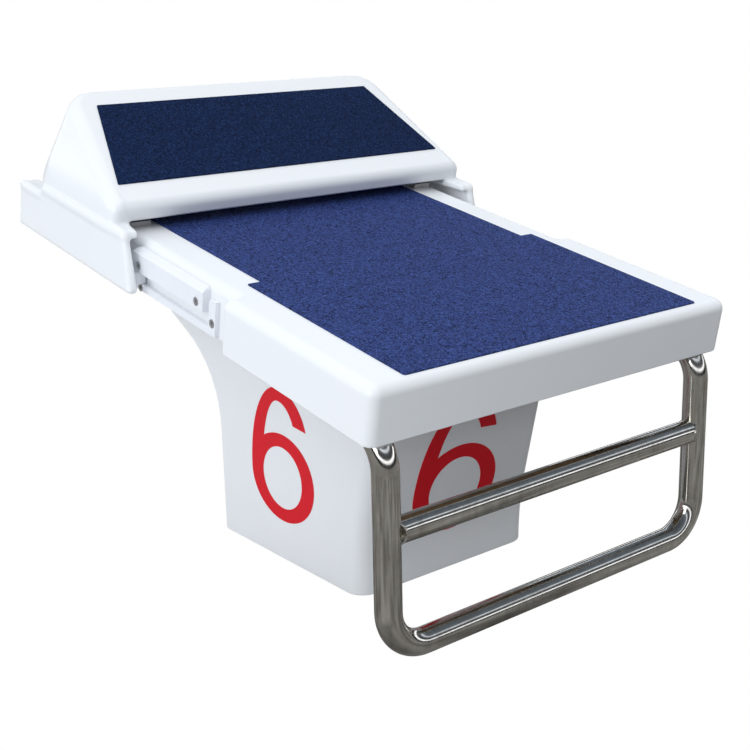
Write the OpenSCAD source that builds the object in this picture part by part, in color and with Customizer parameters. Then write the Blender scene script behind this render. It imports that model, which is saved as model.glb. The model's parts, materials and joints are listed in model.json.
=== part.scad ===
// Competition starting block: hollow pedestal, sloping platform with a steel backstroke handle,
// and a wedge-shaped back plate that slides along the platform and locks in five positions.
// Origin: centre of the four anchor holes, on the deck. X across, -Y towards the pool, +Z up.

/* [Platform] */
// Width of the wide front part
platform_w = 520; // [480:5:600]
// How far the rear part, which carries the rails, is set in on each side
rear_step = 18; // [14:1:24]
// Length from the front face to the rear end
platform_len = 700; // [700:5:840]
// Length of the wide front part
front_len = 253; // [220:1:253]
// Depth of the skirt below the top face
skirt_h = 62; // [50:1:80]
// Slope of the platform, down towards the pool
tilt = 10; // [5:0.5:10]
// Wall of the moulded shells
shell_wall = 6; // [4:0.5:8]
// Radius of the platform's top edges and upright corners
edge_r = 12; // [8:1:16]
// Height of the front top edge above the deck
front_z = 318; // [300:1:420]
// Distance of the front top edge ahead of the pedestal centre
front_reach = 336; // [310:1:380]
// Thickness of the bonded core panel under the top skin
core_t = 18; // [12:1:24]

/* [Mat] */
// White border left along both sides of the mat
mat_border = 46; // [30:1:60]
// Border in front of the mat
mat_front = 12; // [8:1:24]
// Distance of the mat's side notch behind the wide part
mat_notch_lag = 22; // [14:1:40]
// Border behind the mat
mat_rear = 10; // [6:1:20]
// Thickness of both mats
mat_t = 1.6; // [1:0.1:3]

/* [Pedestal] */
// Outer width of the pedestal
pedestal_w = 266; // [260:2:340]
// Outer depth of the pedestal at the deck
pedestal_d = 284; // [280:2:340]
// Radius of its front upright corners
pedestal_front_r = 24; // [12:1:30]
// Radius of its rear upright corners
pedestal_rear_r = 7; // [4:1:12]
// Lean of the upper front face, in degrees from upright
front_lean = 13.2; // [5:0.1:18]
// Height over which the front face bends into that lean
front_bend_h = 95; // [60:1:120]
// Height at which the rear face starts to flare
flare_z = 138; // [100:1:150]
// Radius of the flare
flare_r = 125; // [100:1:140]
// Angle through which the flare turns
flare_turn = 61; // [50:1:65]
// Length of the straight run after the flare
flare_run = 62; // [40:1:80]
// Radius of the nose at the end of the flare
flare_nose_r = 34; // [20:1:45]

/* [Handle] */
// Outer diameter of the handle tube
tube_d = 28; // [25:1:34]
// Wall of the handle tube
tube_wall = 2; // [1.5:0.5:3]
// How far each post's axis lies in from the platform's side
post_inset = 28; // [26:1:40]
// Height of the lower rail's axis above the deck
low_rail_z = 37; // [30:1:60]
// Height of the upper rail's axis above the deck
mid_rail_z = 164; // [140:1:185]
// Bend radius at the tube's axis
bend_r = 45; // [40:1:60]
// Setback of the posts from the front top edge
post_setback = 20; // [16:1:34]
// Length of the leg under the platform, from the post's axis
leg_len = 150; // [130:5:180]
// Space between a leg and the core panel, filled by a packing block
leg_drop = 21; // [18:1:24]

/* [Rails] */
// Thickness of the upper slide rail
rail_t = 10; // [8:0.5:12]
// Height of the upper slide rail's outer face
rail_h = 23; // [18:1:26]
// Depth of the upper rail's lower edge below the top face
rail_low = 35; // [33:0.5:37]
// Thickness of the lower rail
low_rail_t = 6; // [4:0.5:8]
// Height of the lower rail's bar
low_rail_h = 8.5; // [6:0.5:10]
// Depth of the lower rail's bottom edge below the top face
low_rail_low = 58; // [57:0.5:60]
// Width of the upturned tabs at the lower rail's ends
tab_w = 13; // [10:1:13]

/* [Back plate] */
// Slope of the foot face against the platform
wedge_angle = 26.57; // [22:0.1:30]
// Height of the lip crease above the top face
lip_z = 34.5; // [32:0.5:40]
// How much narrower the ridge is than the lip
ridge_narrowing = 62; // [20:2:90]
// Length of the foot face from crease to ridge
face_len = 197; // [180:1:205]
// Radius of the ridge
ridge_r = 12; // [8:1:16]
// Gap between the lip's bottom edge and the top face
lip_gap = 14; // [12:0.5:18]
// Clearance between a skirt and the upper rail
skirt_gap = 10; // [6:1:14]
// Thickness of a side skirt
skirt_t = 12; // [8:0.5:13]
// Distance between lock positions
lock_pitch = 35; // [30:1:35]
// Number of lock positions
lock_count = 5; // [3:1:5]

/* [Lock] */
// Diameter of the lock shaft
shaft_d = 12; // [10:1:14]
// Radial running clearance of the shaft in its bearings
shaft_fit = 0.05; // [0.02:0.01:0.1]
// Angle that drops the dogs into the racks
lock_turn = 8; // [6:0.5:9]
// Thickness of the lock racks
rack_t = 6; // [5:0.5:7]
// Diameter of the grip bar
grip_d = 16; // [12:1:18]

/* [Frame] */
// Thickness of the anchor plate
base_t = 10; // [8:1:12]
// Anchor hole spacing across
anchor_dx = 180; // [160:2:184]
// Anchor hole spacing front to back
anchor_dy = 200; // [180:2:208]
// Diameter of the anchor holes
anchor_d = 14; // [11:1:18]
// Side of the square uprights
upright = 50; // [40:5:60]
// Wall of the uprights
upright_wall = 3; // [2:0.5:4]

/* [Hidden] */

eps = 0.01;
gap = 0.3;                                       // clearance between pieces that only lie close
half_w = platform_w / 2;
rear_half = half_w - rear_step;
travel = lock_pitch * (lock_count - 1);
lip_at = platform_len - 228;                     // lip crease from the front face, plate at the rear
rail_start = front_len + 50;
rail_len = lip_at - 16 - rail_start;
mat_notch = front_len + mat_notch_lag;
post_span = platform_w - 2 * post_inset;
skirt_x = rear_half + rail_t + skirt_gap + skirt_t;
lip_w = 2 * skirt_x - 14;
ridge_w = lip_w - ridge_narrowing;

face = [cos(wedge_angle), sin(wedge_angle)];     // up the foot face, along and above the platform
face_normal = [-face[1], face[0]];
crease = [lip_at, lip_z];
lip_low = [lip_at + (lip_z - lip_gap) * tan(wedge_angle), lip_gap];
ridge_c = crease + face_len * face - ridge_r * face_normal;
side_foot = 13;                                  // height of the side shoulders above the top face
rear_foot = [ridge_c[0] + 35.5, side_foot];
tail_end = rear_foot[0] + 25;
tail_at = rear_foot[0] - 37;
tail_z = 2;
skirt_low = -54;
nose_low = lip_at - 50;
nose_high = lip_at - 25;
flange_t = 9;
flange_in = rear_half + 2.5;
flange_front_in = rear_half + 6;
core_top = -shell_wall;
core_low = core_top - core_t;
head_t = 8;
number_w = 128;
number_h = 168;
number_stroke = 24;
number_bar = 16.5;
number_z = 51;
number_t = 0.5;

/* ---------- placing ---------- */

// Children are drawn with Y along the platform from its front face, Z up from its top face.
module on_platform() {
    translate([0, -front_reach, front_z]) rotate([tilt, 0, 0]) children();
}

module both_sides() {
    children();
    mirror([1, 0, 0]) children();
}

// Extrudes an outline given in the platform's Y and Z across the width, from x0 to x1.
module across(x0, x1) {
    translate([x0, 0, 0]) rotate([90, 0, 90]) linear_extrude(x1 - x0) children();
}

/* ---------- outlines ---------- */

function arc(c, r, a0, a1, n) =
    [for (i = [0 : n]) let (a = a0 + (a1 - a0) * i / n) [c[0] + r * cos(a), c[1] + r * sin(a)]];

function oval(c, a, b, n = 72) =
    [for (i = [0 : n - 1]) let (t = i * 360 / n) [c[0] + a * cos(t), c[1] + b * sin(t)]];

// Rectangle with its own radius at the front pair and the rear pair of corners.
function round_rect(half, y0, y1, r0, r1, n = 6) =
    concat(arc([half - r0, y0 + r0], r0, -90, 0, n), arc([half - r1, y1 - r1], r1, 0, 90, n),
           arc([-half + r1, y1 - r1], r1, 90, 180, n), arc([-half + r0, y0 + r0], r0, 180, 270, n));

// Closed solid through a stack of rings with the same number of points.
module loft(rings) {
    n = len(rings[0]);
    m = len(rings);
    points = [for (ring = rings, p = ring) p];
    sides = [for (k = [0 : m - 2], i = [0 : n - 1])
        let (j = (i + 1) % n) each [[k * n + i, (k + 1) * n + i, k * n + j],
                                    [(k + 1) * n + i, (k + 1) * n + j, k * n + j]]];
    floor_face = [[for (i = [0 : n - 1]) i]];
    roof_face = [[for (i = [n - 1 : -1 : 0]) (m - 1) * n + i]];
    polyhedron(points, concat(sides, floor_face, roof_face), convexity = 6);
}

/* ---------- pedestal ---------- */

front_bend_r = front_bend_h / sin(front_lean);
pedestal_front = -pedestal_d / 2;
pedestal_rear = pedestal_d / 2;

// Height of a plane parallel to the top face, at depth w below it.
function plane_z(y, w) = front_z + (y + front_reach) * tan(tilt) + w / cos(tilt);

// Front face: upright at the deck, bending into its lean. z is the height.
function front_y(z) = z < front_bend_h
    ? pedestal_front - front_bend_r + sqrt(front_bend_r ^ 2 - z ^ 2)
    : pedestal_front - front_bend_r * (1 - cos(front_lean)) - (z - front_bend_h) * tan(front_lean);

front_top_z = (front_z + (pedestal_front - front_bend_r * (1 - cos(front_lean))
    + front_bend_h * tan(front_lean) + front_reach) * tan(tilt) + core_low / cos(tilt))
    / (1 + tan(front_lean) * tan(tilt));

flare_c = [pedestal_rear + flare_r, flare_z];
flare_end = [flare_c[0] - flare_r * cos(flare_turn), flare_c[1] + flare_r * sin(flare_turn)];
run_dir = [sin(flare_turn), cos(flare_turn)];
run_end = flare_end + flare_run * run_dir;
nose_c = run_end + flare_nose_r * [-run_dir[1], run_dir[0]];

// Rear face from the deck up: upright, flare, straight run, nose, and up to the core panel.
rear_line = concat(
    [for (i = [0 : 6]) [pedestal_rear, flare_z * i / 6]],
    [for (i = [1 : 9]) flare_c + flare_r * [-cos(flare_turn * i / 9), sin(flare_turn * i / 9)]],
    [run_end],
    [for (i = [1 : 6]) let (a = -flare_turn * (1 - i / 6)) nose_c + flare_nose_r * [cos(a), sin(a)]],
    [[nose_c[0] + flare_nose_r, plane_z(nose_c[0] + flare_nose_r, core_low)]]);

// One ring of the pedestal: across the width, from the front line to the rear line.
// A negative inset lies outside the face.
function pedestal_ring(k, inset, last) =
    let (f = k / last, z = front_top_z * f, a = [front_y(z), z], b = rear_line[k],
         d = norm(b - a), dir = (b - a) / d, half = pedestal_w / 2 - inset,
         r0 = max(pedestal_front_r - inset, 1), r1 = max(pedestal_rear_r - inset, 1))
    [for (p = round_rect(half, inset, d - inset, r0, r1))
        [p[0], a[0] + dir[0] * p[1], a[1] + dir[1] * p[1]]];

function pedestal_rings(inset) =
    let (last = len(rear_line) - 1) [for (k = [0 : last]) pedestal_ring(k, inset, last)];

// A ring carried on along the lines from the ring before it.
function beyond(ring, before, part) =
    [for (i = [0 : len(ring) - 1]) ring[i] + (ring[i] - before[i]) * part];

// The same stack run on past both ends, to cut a hollow right through.
function run_through(rings) = let (m = len(rings) - 1) concat(
    [beyond(rings[0], rings[1], 0.2)], [for (k = [1 : m - 1]) rings[k]],
    [beyond(rings[m], rings[m - 1], 0.2)]);

module pedestal_shell() {
    color("white") difference() {
        loft(pedestal_rings(0));
        loft(run_through(pedestal_rings(shell_wall)));
    }
}

/* ---------- anchor frame inside the pedestal ---------- */

plate_x = anchor_dx + 50;
plate_y = anchor_dy + 50;
upright_at = [45, 50];                           // centre of each upright from the middle
head_x = 2 * upright_at[0] + upright + 60;
head_y = 2 * upright_at[1] + upright + 60;
head_bolt_d = 12;
head_middle = front_reach / cos(tilt);           // middle of the head plate along the platform

module anchor_plate() {
    color("silver") difference() {
        translate([-plate_x / 2, -plate_y / 2, 0]) cube([plate_x, plate_y, base_t]);
        for (x = [-1, 1], y = [-1, 1])
            translate([x * anchor_dx / 2, y * anchor_dy / 2, -1])
                cylinder(d = anchor_d, h = base_t + 2, $fn = 48);
    }
}

module below_head() {
    on_platform() translate([-300, -100, core_low - head_t - 700]) cube([600, 1200, 700]);
}

module frame_uprights() {
    color("silver") for (x = [-1, 1], y = [-1, 1])
        intersection() {
            translate([x * upright_at[0], y * upright_at[1], base_t]) difference() {
                translate([-upright / 2, -upright / 2, 0]) cube([upright, upright, 500]);
                translate([upright_wall - upright / 2, upright_wall - upright / 2, -1])
                    cube([upright - 2 * upright_wall, upright - 2 * upright_wall, 502]);
            }
            below_head();
        }
}

module frame_gussets() {
    reach = 38;
    thick = 6;
    toe = 8;
    out = upright_at[1] + upright / 2;
    color("silver") for (x = [-1, 1], y = [-1, 1])
        translate([x * upright_at[0] - thick / 2, 0, base_t])
            mirror([0, y > 0 ? 0 : 1, 0])
                rotate([90, 0, 90]) linear_extrude(thick)
                    polygon([[out, 0], [out + reach, 0], [out + reach, toe],
                             [out + toe, reach * 2], [out, reach * 2]]);
}

module head_plate() {
    color("silver") on_platform() difference() {
        translate([-head_x / 2, head_middle - head_y / 2, core_low - head_t]) cube([head_x, head_y, head_t]);
        head_holes(head_bolt_d + 1, core_low - head_t - 1, core_low + 1);
    }
}

module head_holes(d, z0, z1) {
    for (x = [-1, 1], y = [-1, 1])
        translate([x * (head_x / 2 - 15), head_middle + y * (head_y / 2 - 15), z0])
            cylinder(d = d, h = z1 - z0, $fn = 32);
}

// Bolts through the core panel and the head plate, heads let into the core's top face.
module head_bolts() {
    head_d = 18;
    head_h = 7;
    nut_h = 10;
    color("silver") on_platform() {
        for (x = [-1, 1], y = [-1, 1])
            translate([x * (head_x / 2 - 15), head_middle + y * (head_y / 2 - 15), 0]) {
                low = core_low - head_t - nut_h - 3;
                translate([0, 0, low]) cylinder(d = head_bolt_d, h = core_top - low - head_h + eps, $fn = 32);
                translate([0, 0, core_top - head_h]) cylinder(d = head_d, h = head_h, $fn = 32);
                translate([0, 0, core_low - head_t - nut_h]) cylinder(d = 21, h = nut_h, $fn = 6);
            }
    }
}

/* ---------- platform ---------- */

// Block with rounded upright corners and a rounded top edge, open to a chosen depth.
module rounded_block(half, y0, y1, low, high, r) {
    hull() {
        for (x = [-1, 1], y = [y0 + r, y1 - r]) {
            translate([x * (half - r), y, high - r]) sphere(r = r, $fn = 32);
            translate([x * (half - r), y, low]) cylinder(r = r, h = 1, $fn = 32);
        }
    }
}

module platform_outline(inset) {
    r = max(edge_r - inset, 1);
    polygon(round_rect(half_w - inset, inset, front_len - inset, r, r));
    polygon(round_rect(rear_half - inset, inset, platform_len - inset, r, r));
}

// Pilot holes for the screws that hold the rails, drilled from both sides.
module rail_pilots() {
    both_sides() for (p = rail_screw_spots())
        translate([rear_half - shell_wall - 6, p[0], p[1]]) rotate([0, 90, 0])
            cylinder(d = screw_d, h = shell_wall + 7, $fn = 24);
}

module platform_shell() {
    color("white") on_platform() difference() {
        union() {
            rounded_block(half_w, 0, front_len, -skirt_h, 0, edge_r);
            rounded_block(rear_half, 0, platform_len, -skirt_h, 0, edge_r);
        }
        translate([0, 0, -skirt_h - 1])
            linear_extrude(skirt_h + 1 + core_top) platform_outline(shell_wall);
        rail_pilots();
        both_sides() for (p = rack_screw_spots())
            translate([rack_x, p, core_top - 1]) cylinder(d = screw_d, h = shell_wall + 2, $fn = 24);
    }
}

module platform_core() {
    color("burlywood") on_platform() difference() {
        translate([0, 0, core_low]) linear_extrude(core_t) platform_outline(shell_wall + gap);
        head_holes(head_bolt_d + 1, core_low - 1, core_top + 1);
        head_holes(19, core_top - 7.5, core_top + 1);
        both_sides() {
            for (p = rack_screw_spots())
                translate([rack_x, p, core_low - 1]) cylinder(d = screw_d, h = core_t + 2, $fn = 24);
            for (p = saddle_spots())
                translate([post_span / 2 - saddle_bolt_dx, p, core_low - 1])
                    cylinder(d = saddle_bolt_d, h = 13, $fn = 24);
        }
    }
}

module platform_mat() {
    front_half = half_w - mat_border;
    back_half = rear_half - mat_border;
    rack_edge = rack_x - rack_w / 2 - 1;
    color("midnightblue") on_platform() linear_extrude(mat_t) {
        polygon(round_rect(front_half, mat_front, mat_notch, 5, 1));
        polygon(round_rect(min(back_half, rack_edge), mat_front + 20, platform_len - mat_rear, 1, 5));
    }
}

/* ---------- rails on the platform's rear part ---------- */

screw_d = 5;
screw_head_d = 10;
screw_len = 22;
tab_top = -18;
low_start = rail_start - 7 - tab_w;
low_end = platform_len - 2;
low_top = -low_rail_low + low_rail_h;
rear_tab_top = low_top + 14;
low_screw_w = low_top - max(low_rail_h, screw_head_d) / 2;   // heads stay below the guides' track
tab_fillet = 2;

function rail_screw_spots() = [
    [rail_start + 13.5, -rail_low + 8], [rail_start + rail_len - 14, -rail_low + 8],
    [low_start + tab_w / 2, -44], [low_start + 160, low_screw_w],
    [low_start + 280, low_screw_w], [low_end - tab_w / 2, low_top + 4]];

// The first two spots are on the upper rail, the others on the lower rail.
function spot_face(i) = rear_half + (i < 2 ? rail_t : low_rail_t);

module upper_rail() {
    y1 = rail_start + rail_len;
    top = -rail_low + rail_h;
    color("white") on_platform() difference() {
        intersection() {
            translate([0, rail_start, 0]) rotate([-90, 0, 0]) linear_extrude(rail_len)
                polygon([[rear_half, rail_low], [rear_half + rail_t, rail_low],
                         [rear_half + rail_t, -top + 1], [rear_half + rail_t - 4, -top - 3],
                         [rear_half, -top - 5]]);
            across(rear_half - 1, rear_half + rail_t + 1)
                polygon(concat([[rail_start, -rail_low], [y1 - 8, -rail_low]],
                    arc([y1 - 8, -rail_low + 8], 8, -90, 0, 6),
                    arc([y1 - 10, top - 5], 10, 0, 90, 6),
                    arc([rail_start + 5, top], 5, 90, 180, 4)));
        }
        for (i = [0, 1]) countersunk_hole(i);
    }
}

module countersunk_hole(i) {
    p = rail_screw_spots()[i];
    translate([spot_face(i), p[0], p[1]]) rotate([0, -90, 0]) {
        translate([0, 0, -1]) cylinder(d = screw_d + 0.5, h = 14, $fn = 24);
        translate([0, 0, -eps])
            cylinder(d1 = screw_head_d + 0.4, d2 = screw_d + 0.4, h = 2.7, $fn = 32);
    }
}

module lower_rail() {
    color("white") on_platform() difference() {
        across(rear_half, rear_half + low_rail_t)
            polygon(concat([[low_start, -low_rail_low], [low_end, -low_rail_low], [low_end, rear_tab_top],
                [low_end - tab_w, rear_tab_top], [low_end - tab_w, low_top]],
                arc([low_start + tab_w + tab_fillet, low_top + tab_fillet], tab_fillet, -90, -180, 5),
                arc([low_start + tab_w - 3, tab_top - 3], 3, 0, 90, 4), [[low_start, tab_top]]));
        for (i = [2 : 5]) countersunk_hole(i);
    }
}

module upper_rail_right() { upper_rail(); }
module upper_rail_left() { mirror([1, 0, 0]) upper_rail(); }
module lower_rail_right() { lower_rail(); }
module lower_rail_left() { mirror([1, 0, 0]) lower_rail(); }

// Countersunk screw, head flush at z = 0, pointing down.
module countersunk_screw(length) {
    translate([0, 0, -2.5]) cylinder(d1 = screw_d - 0.1, d2 = screw_head_d, h = 2.5, $fn = 32);
    translate([0, 0, -length]) cylinder(d = screw_d - 0.1, h = length - 2.5 + eps, $fn = 24);
}

module rail_screws() {
    color("silver") on_platform() both_sides() for (i = [0 : 5])
        let (p = rail_screw_spots()[i])
            translate([spot_face(i), p[0], p[1]]) rotate([0, 90, 0])
                countersunk_screw(screw_len - (i < 2 ? 0 : 6));
}

/* ---------- backstroke handle ---------- */

tube_r = tube_d / 2;
post_y = -front_reach + post_setback;
leg_w = core_low - leg_drop - tube_r;            // depth of the leg's axis below the top face
leg_turn = 90 - tilt;
leg_tangent = bend_r * tan(leg_turn / 2);
leg_post_z = plane_z(post_y, leg_w);             // where the leg's axis meets the post's axis
strap_t = 4;
strap_w = 30;
saddle_bolt_d = 6;
saddle_bolt_dx = tube_r + strap_t + 9;

function saddle_spots() = [80, 135];

tube_sides = 20;
bend_steps = 7;

module tube_section() {
    difference() {
        circle(r = tube_r, $fn = 48);
        circle(r = tube_r - tube_wall, $fn = 48);
    }
}

// Stations along the left half of the loop, each [place, direction, side], from the end of the
// leg down the post to the middle of the lower rail. past lengthens the leg.
function half_loop(past) =
    let (x = -post_span / 2, low = low_rail_z + bend_r, top = leg_post_z - leg_tangent,
         down_leg = [0, -cos(tilt), -sin(tilt)],
         leg_end = [x, post_y, leg_post_z] - (leg_len + past) * down_leg)
    concat([[leg_end, down_leg, cross(down_leg, [1, 0, 0])]],
        [for (i = [0 : bend_steps])
            let (a = tilt + leg_turn * i / bend_steps, d = [0, -cos(a), -sin(a)])
                [[x, post_y + bend_r - bend_r * sin(a), top + bend_r * cos(a)],
                 d, cross(d, [1, 0, 0])]],
        [for (i = [0 : bend_steps])
            let (a = 90 * i / bend_steps)
                [[x + bend_r - bend_r * cos(a), post_y, low - bend_r * sin(a)],
                 [sin(a), 0, -cos(a)], [0, -1, 0]]]);

function mirrored(p) = [-p[0], p[1], p[2]];

function tube_rings(r, past) =
    let (left = half_loop(past), m = len(left) - 1,
         whole = concat(left, [for (k = [m : -1 : 0])
             [mirrored(left[k][0]), -mirrored(left[k][1]), mirrored(left[k][2])]]))
    [for (s = whole) [for (i = [0 : tube_sides - 1]) let (a = i * 360 / tube_sides)
        s[0] + r * (cos(a) * s[2] + sin(a) * cross(s[1], s[2]))]];

module handle_loop() {
    color("silver") difference() {
        loft(tube_rings(tube_r, 0));
        loft(tube_rings(tube_r - tube_wall, 1));
    }
}

module handle_mid_rail() {
    x = post_span / 2 - tube_r + 4;
    color("silver") difference() {
        translate([-x, post_y, mid_rail_z]) rotate([0, 90, 0]) linear_extrude(2 * x) tube_section();
        both_sides() translate([post_span / 2, post_y, mid_rail_z - 40])
            cylinder(r = tube_r, h = 80, $fn = 48);
    }
}

// Strap that hangs a leg from the core panel, bolted on its inner side.
module handle_saddles() {
    r = tube_r + gap;
    color("silver") on_platform() both_sides() for (p = saddle_spots()) difference() {
        translate([post_span / 2, p + strap_w / 2, 0])
            rotate([90, 0, 0]) linear_extrude(strap_w) difference() {
                union() {
                    translate([0, leg_w]) circle(r = r + strap_t, $fn = 48);
                    translate([-r - strap_t, leg_w]) square([2 * (r + strap_t), core_low - leg_w]);
                    translate([-r - strap_t - 18, core_low - strap_t]) square([20, strap_t]);
                }
                translate([0, leg_w]) circle(r = r, $fn = 48);
                translate([-r, leg_w]) square([2 * r, core_low - leg_w + 1]);
            }
        translate([post_span / 2 - saddle_bolt_dx, p, core_low - strap_t - 1])
            cylinder(d = saddle_bolt_d, h = strap_t + 2, $fn = 24);
    }
}

// Packing block between a leg and the core panel.
module saddle_blocks() {
    color("white") on_platform() both_sides() for (p = saddle_spots())
        translate([post_span / 2, p + strap_w / 2 - 2, 0]) rotate([90, 0, 0])
            linear_extrude(strap_w - 4) difference() {
                translate([-tube_r, leg_w + 4]) square([2 * tube_r, core_low - leg_w - 4]);
                translate([0, leg_w]) circle(r = tube_r, $fn = 48);
            }
}

module saddle_bolts() {
    color("silver") on_platform() both_sides() for (p = saddle_spots())
        translate([post_span / 2 - saddle_bolt_dx, p, core_low - strap_t]) {
            translate([0, 0, -4]) cylinder(d = 11, h = 4, $fn = 6);
            cylinder(d = saddle_bolt_d - 0.2, h = strap_t + 11, $fn = 24);
        }
}

/* ---------- lock racks on the platform's side borders ---------- */

rack_w = 26;
rack_x = rear_half - 23;                         // rack's middle from the centre line
slot_w = 14;
slot_len = 16;
shaft_at = rear_foot[0] - 84;                    // shaft's place along the platform, plate at the rear
shaft_z = 30;
dog_reach = 52;                                  // shaft to the middle of a slot
rack_end = shaft_at + dog_reach + slot_len / 2 + 14;
rack_start = rack_end - travel - slot_len - 28;

function rack_screw_spots() = [rack_start + 7, rack_end - 7];

module lock_rack() {
    color("silver") on_platform() difference() {
        translate([rack_x - rack_w / 2, rack_start, 0]) cube([rack_w, rack_end - rack_start, rack_t]);
        for (i = [0 : lock_count - 1])
            translate([rack_x - slot_w / 2, shaft_at + dog_reach - slot_len / 2 - i * lock_pitch, -1])
                cube([slot_w, slot_len, rack_t + 2]);
        for (p = rack_screw_spots()) translate([rack_x, p, 0]) {
            translate([0, 0, -1]) cylinder(d = screw_d + 0.5, h = rack_t + 2, $fn = 24);
            translate([0, 0, rack_t - 2.7 + eps])
                cylinder(d1 = screw_d + 0.4, d2 = screw_head_d + 0.4, h = 2.7, $fn = 32);
        }
    }
}

module lock_rack_right() { lock_rack(); }
module lock_rack_left() { mirror([1, 0, 0]) lock_rack(); }

module rack_screws() {
    color("silver") on_platform() both_sides() for (p = rack_screw_spots())
        translate([rack_x, p, rack_t - 0.1]) countersunk_screw(20);
}

/* ---------- lane numbers, thin film on the pedestal's four faces ---------- */

// Ring between two ellipses about a centre, with an upright and a level thickness.
module oval_ring(centre, a, b) {
    difference() {
        polygon(oval(centre, a, b));
        polygon(oval(centre, a - number_stroke, b - number_bar));
    }
}

// Figure six, standing on the origin: a bowl, a long left sweep, and a hook at the top.
module six() {
    a = number_w / 2;
    bowl = number_h * 0.33;
    hook = number_h * 0.36;
    shift = -number_w * 0.03;
    oval_ring([0, bowl], a, bowl);
    intersection() {
        oval_ring([shift, bowl], a + shift, number_h - bowl);
        translate([-2 * a, bowl]) square([2 * a + shift, number_h]);
    }
    intersection() {
        oval_ring([shift, number_h - hook], a * 0.9, hook);
        polygon([[shift - eps, number_h + 1], [shift - eps, number_h - hook],
                 [a * 0.34, number_h * 0.758], [a * 1.3, number_h * 0.722], [a * 1.3, number_h + 1]]);
    }
}

// Keeps what lies in the thin layer just outside the pedestal's surface.
module on_pedestal_skin() {
    intersection() {
        children();
        difference() {
            loft(pedestal_rings(-number_t));
            loft(run_through(pedestal_rings(0)));
        }
    }
}

module lane_number_front() {
    color("crimson") on_pedestal_skin()
        translate([0, 0, number_z]) rotate([90, 0, 0]) linear_extrude(400) six();
}

module lane_number_rear() {
    color("crimson") on_pedestal_skin()
        translate([0, 0, number_z]) rotate([90, 0, 180]) linear_extrude(400) six();
}

module lane_number_left() {
    color("crimson") translate([-pedestal_w / 2, 4.5, number_z])
        rotate([90, 0, -90]) linear_extrude(number_t) six();
}

module lane_number_right() {
    color("crimson") translate([pedestal_w / 2, 4.5, number_z])
        rotate([90, 0, 90]) linear_extrude(number_t) six();
}

/* ---------- back plate ---------- */

// Body of the plate; inset shrinks it to the hollow inside.
module plate_hull(inset) {
    soft = 4;
    r = max(soft - inset, 0.5);
    low_z = inset > 0 ? -40 : lip_low[1] + soft;
    rear_z = inset > 0 ? -40 : rear_foot[1] + soft;
    lip_y = lip_low[0] + soft + (inset > 0 ? 2 : 0);
    hull() for (x = [-1, 1]) {
        translate([x * (ridge_w / 2 - ridge_r), ridge_c[0], ridge_c[1]])
            sphere(r = max(ridge_r - inset, 1), $fn = 32);
        for (p = [crease + [soft, -soft], [lip_y, low_z], [rear_foot[0] - soft, rear_z]])
            translate([x * (lip_w / 2 - soft), p[0], p[1]]) sphere(r = r, $fn = 24);
    }
}

module side_skirt() {
    across(skirt_x - skirt_t, skirt_x) polygon([[nose_low, skirt_low], [nose_high, side_foot - 4],
        [nose_high + 4, side_foot], [tail_at, side_foot], [tail_at, tail_z], [tail_end - 4, tail_z],
        [tail_end, tail_z - 4], [tail_end, skirt_low]]);
}

// Top flange of a side skirt, over the rail; it drops where the tail's ledge is.
module side_flange() {
    flange_out = skirt_x - skirt_t + 1;
    step_t = 12;
    translate([0, 0, side_foot - flange_t]) linear_extrude(flange_t)
        polygon([[flange_front_in, nose_high], [flange_out, nose_high], [flange_out, tail_at],
                 [flange_in, tail_at], [flange_in, lip_low[0]], [flange_front_in, lip_low[0] - 18]]);
    translate([0, 0, tail_z - flange_t]) linear_extrude(flange_t)
        polygon([[flange_in, tail_at - step_t], [flange_out, tail_at - step_t],
                 [flange_out, tail_end], [flange_in, tail_end]]);
    across(flange_in, flange_out)
        polygon([[tail_at - step_t, tail_z - flange_t], [tail_at, tail_z - flange_t],
                 [tail_at, side_foot], [tail_at - step_t, side_foot]]);
    across(flange_in, flange_out)
        polygon([[tail_at, tail_z - 1], [rear_foot[0], tail_z - 1],
                 [rear_foot[0] - 6, side_foot + 5], [tail_at, side_foot + 5]]);
}

hand_half = 88;

module back_plate_shell() {
    color("white") on_platform() difference() {
        union() {
            difference() {
                plate_hull(0);
                intersection() {
                    plate_hull(shell_wall);
                    translate([-skirt_x, nose_low - 20, -50]) cube([2 * skirt_x, 400, 300]);
                }
                translate([-flange_in, nose_low - 20, -60]) cube([2 * flange_in, 400, 60 + 4]);
            }
            both_sides() {
                side_skirt();
                side_flange();
            }
        }
        translate([-hand_half, rear_foot[0] - 45, 0]) cube([2 * hand_half, 60, 62]);
        both_sides() for (y = [cross_y0 + 10, cross_y1 - 10])
            translate([flange_screw_x, y, cross_top - 10.5]) cylinder(d = screw_d, h = 11, $fn = 24);
    }
}

// Places children on the foot face: X across, Y up the face from the crease, Z out of it.
module on_face() {
    translate([0, crease[0], crease[1]]) rotate([wedge_angle, 0, 0]) children();
}

plate_mat_low = 36;
plate_mat_len = face_len - 58;
plate_mat_low_half = lip_w / 2 - 22;
plate_mat_high_half = ridge_w / 2 - 28;

module back_plate_mat() {
    color("midnightblue") on_platform() on_face() linear_extrude(mat_t)
        polygon([[-plate_mat_low_half, plate_mat_low], [plate_mat_low_half, plate_mat_low],
                 [plate_mat_high_half, plate_mat_low + plate_mat_len],
                 [-plate_mat_high_half, plate_mat_low + plate_mat_len]]);
}

/* ---------- lock mechanism inside the back plate ---------- */

cross_t = 4;
cross_half = skirt_x - skirt_t - 8;
flange_screw_x = flange_in + 4.5;
cross_y0 = shaft_at - 23;
cross_y1 = shaft_at + 23;
bearing_x = 150;
bearing_w = 24;
bearing_d = 40;
bearing_top = shaft_z + 11;
cross_top = side_foot + cross_t;
shaft_len = 2 * (rack_x + 14);
arm_x = 60;
arm_t = 8;
hub_r = 11;
grip_at = [rear_foot[0] + 16, 38];
grip_len = 150;
collar_r = 11;
pin_d = 4;

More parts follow.
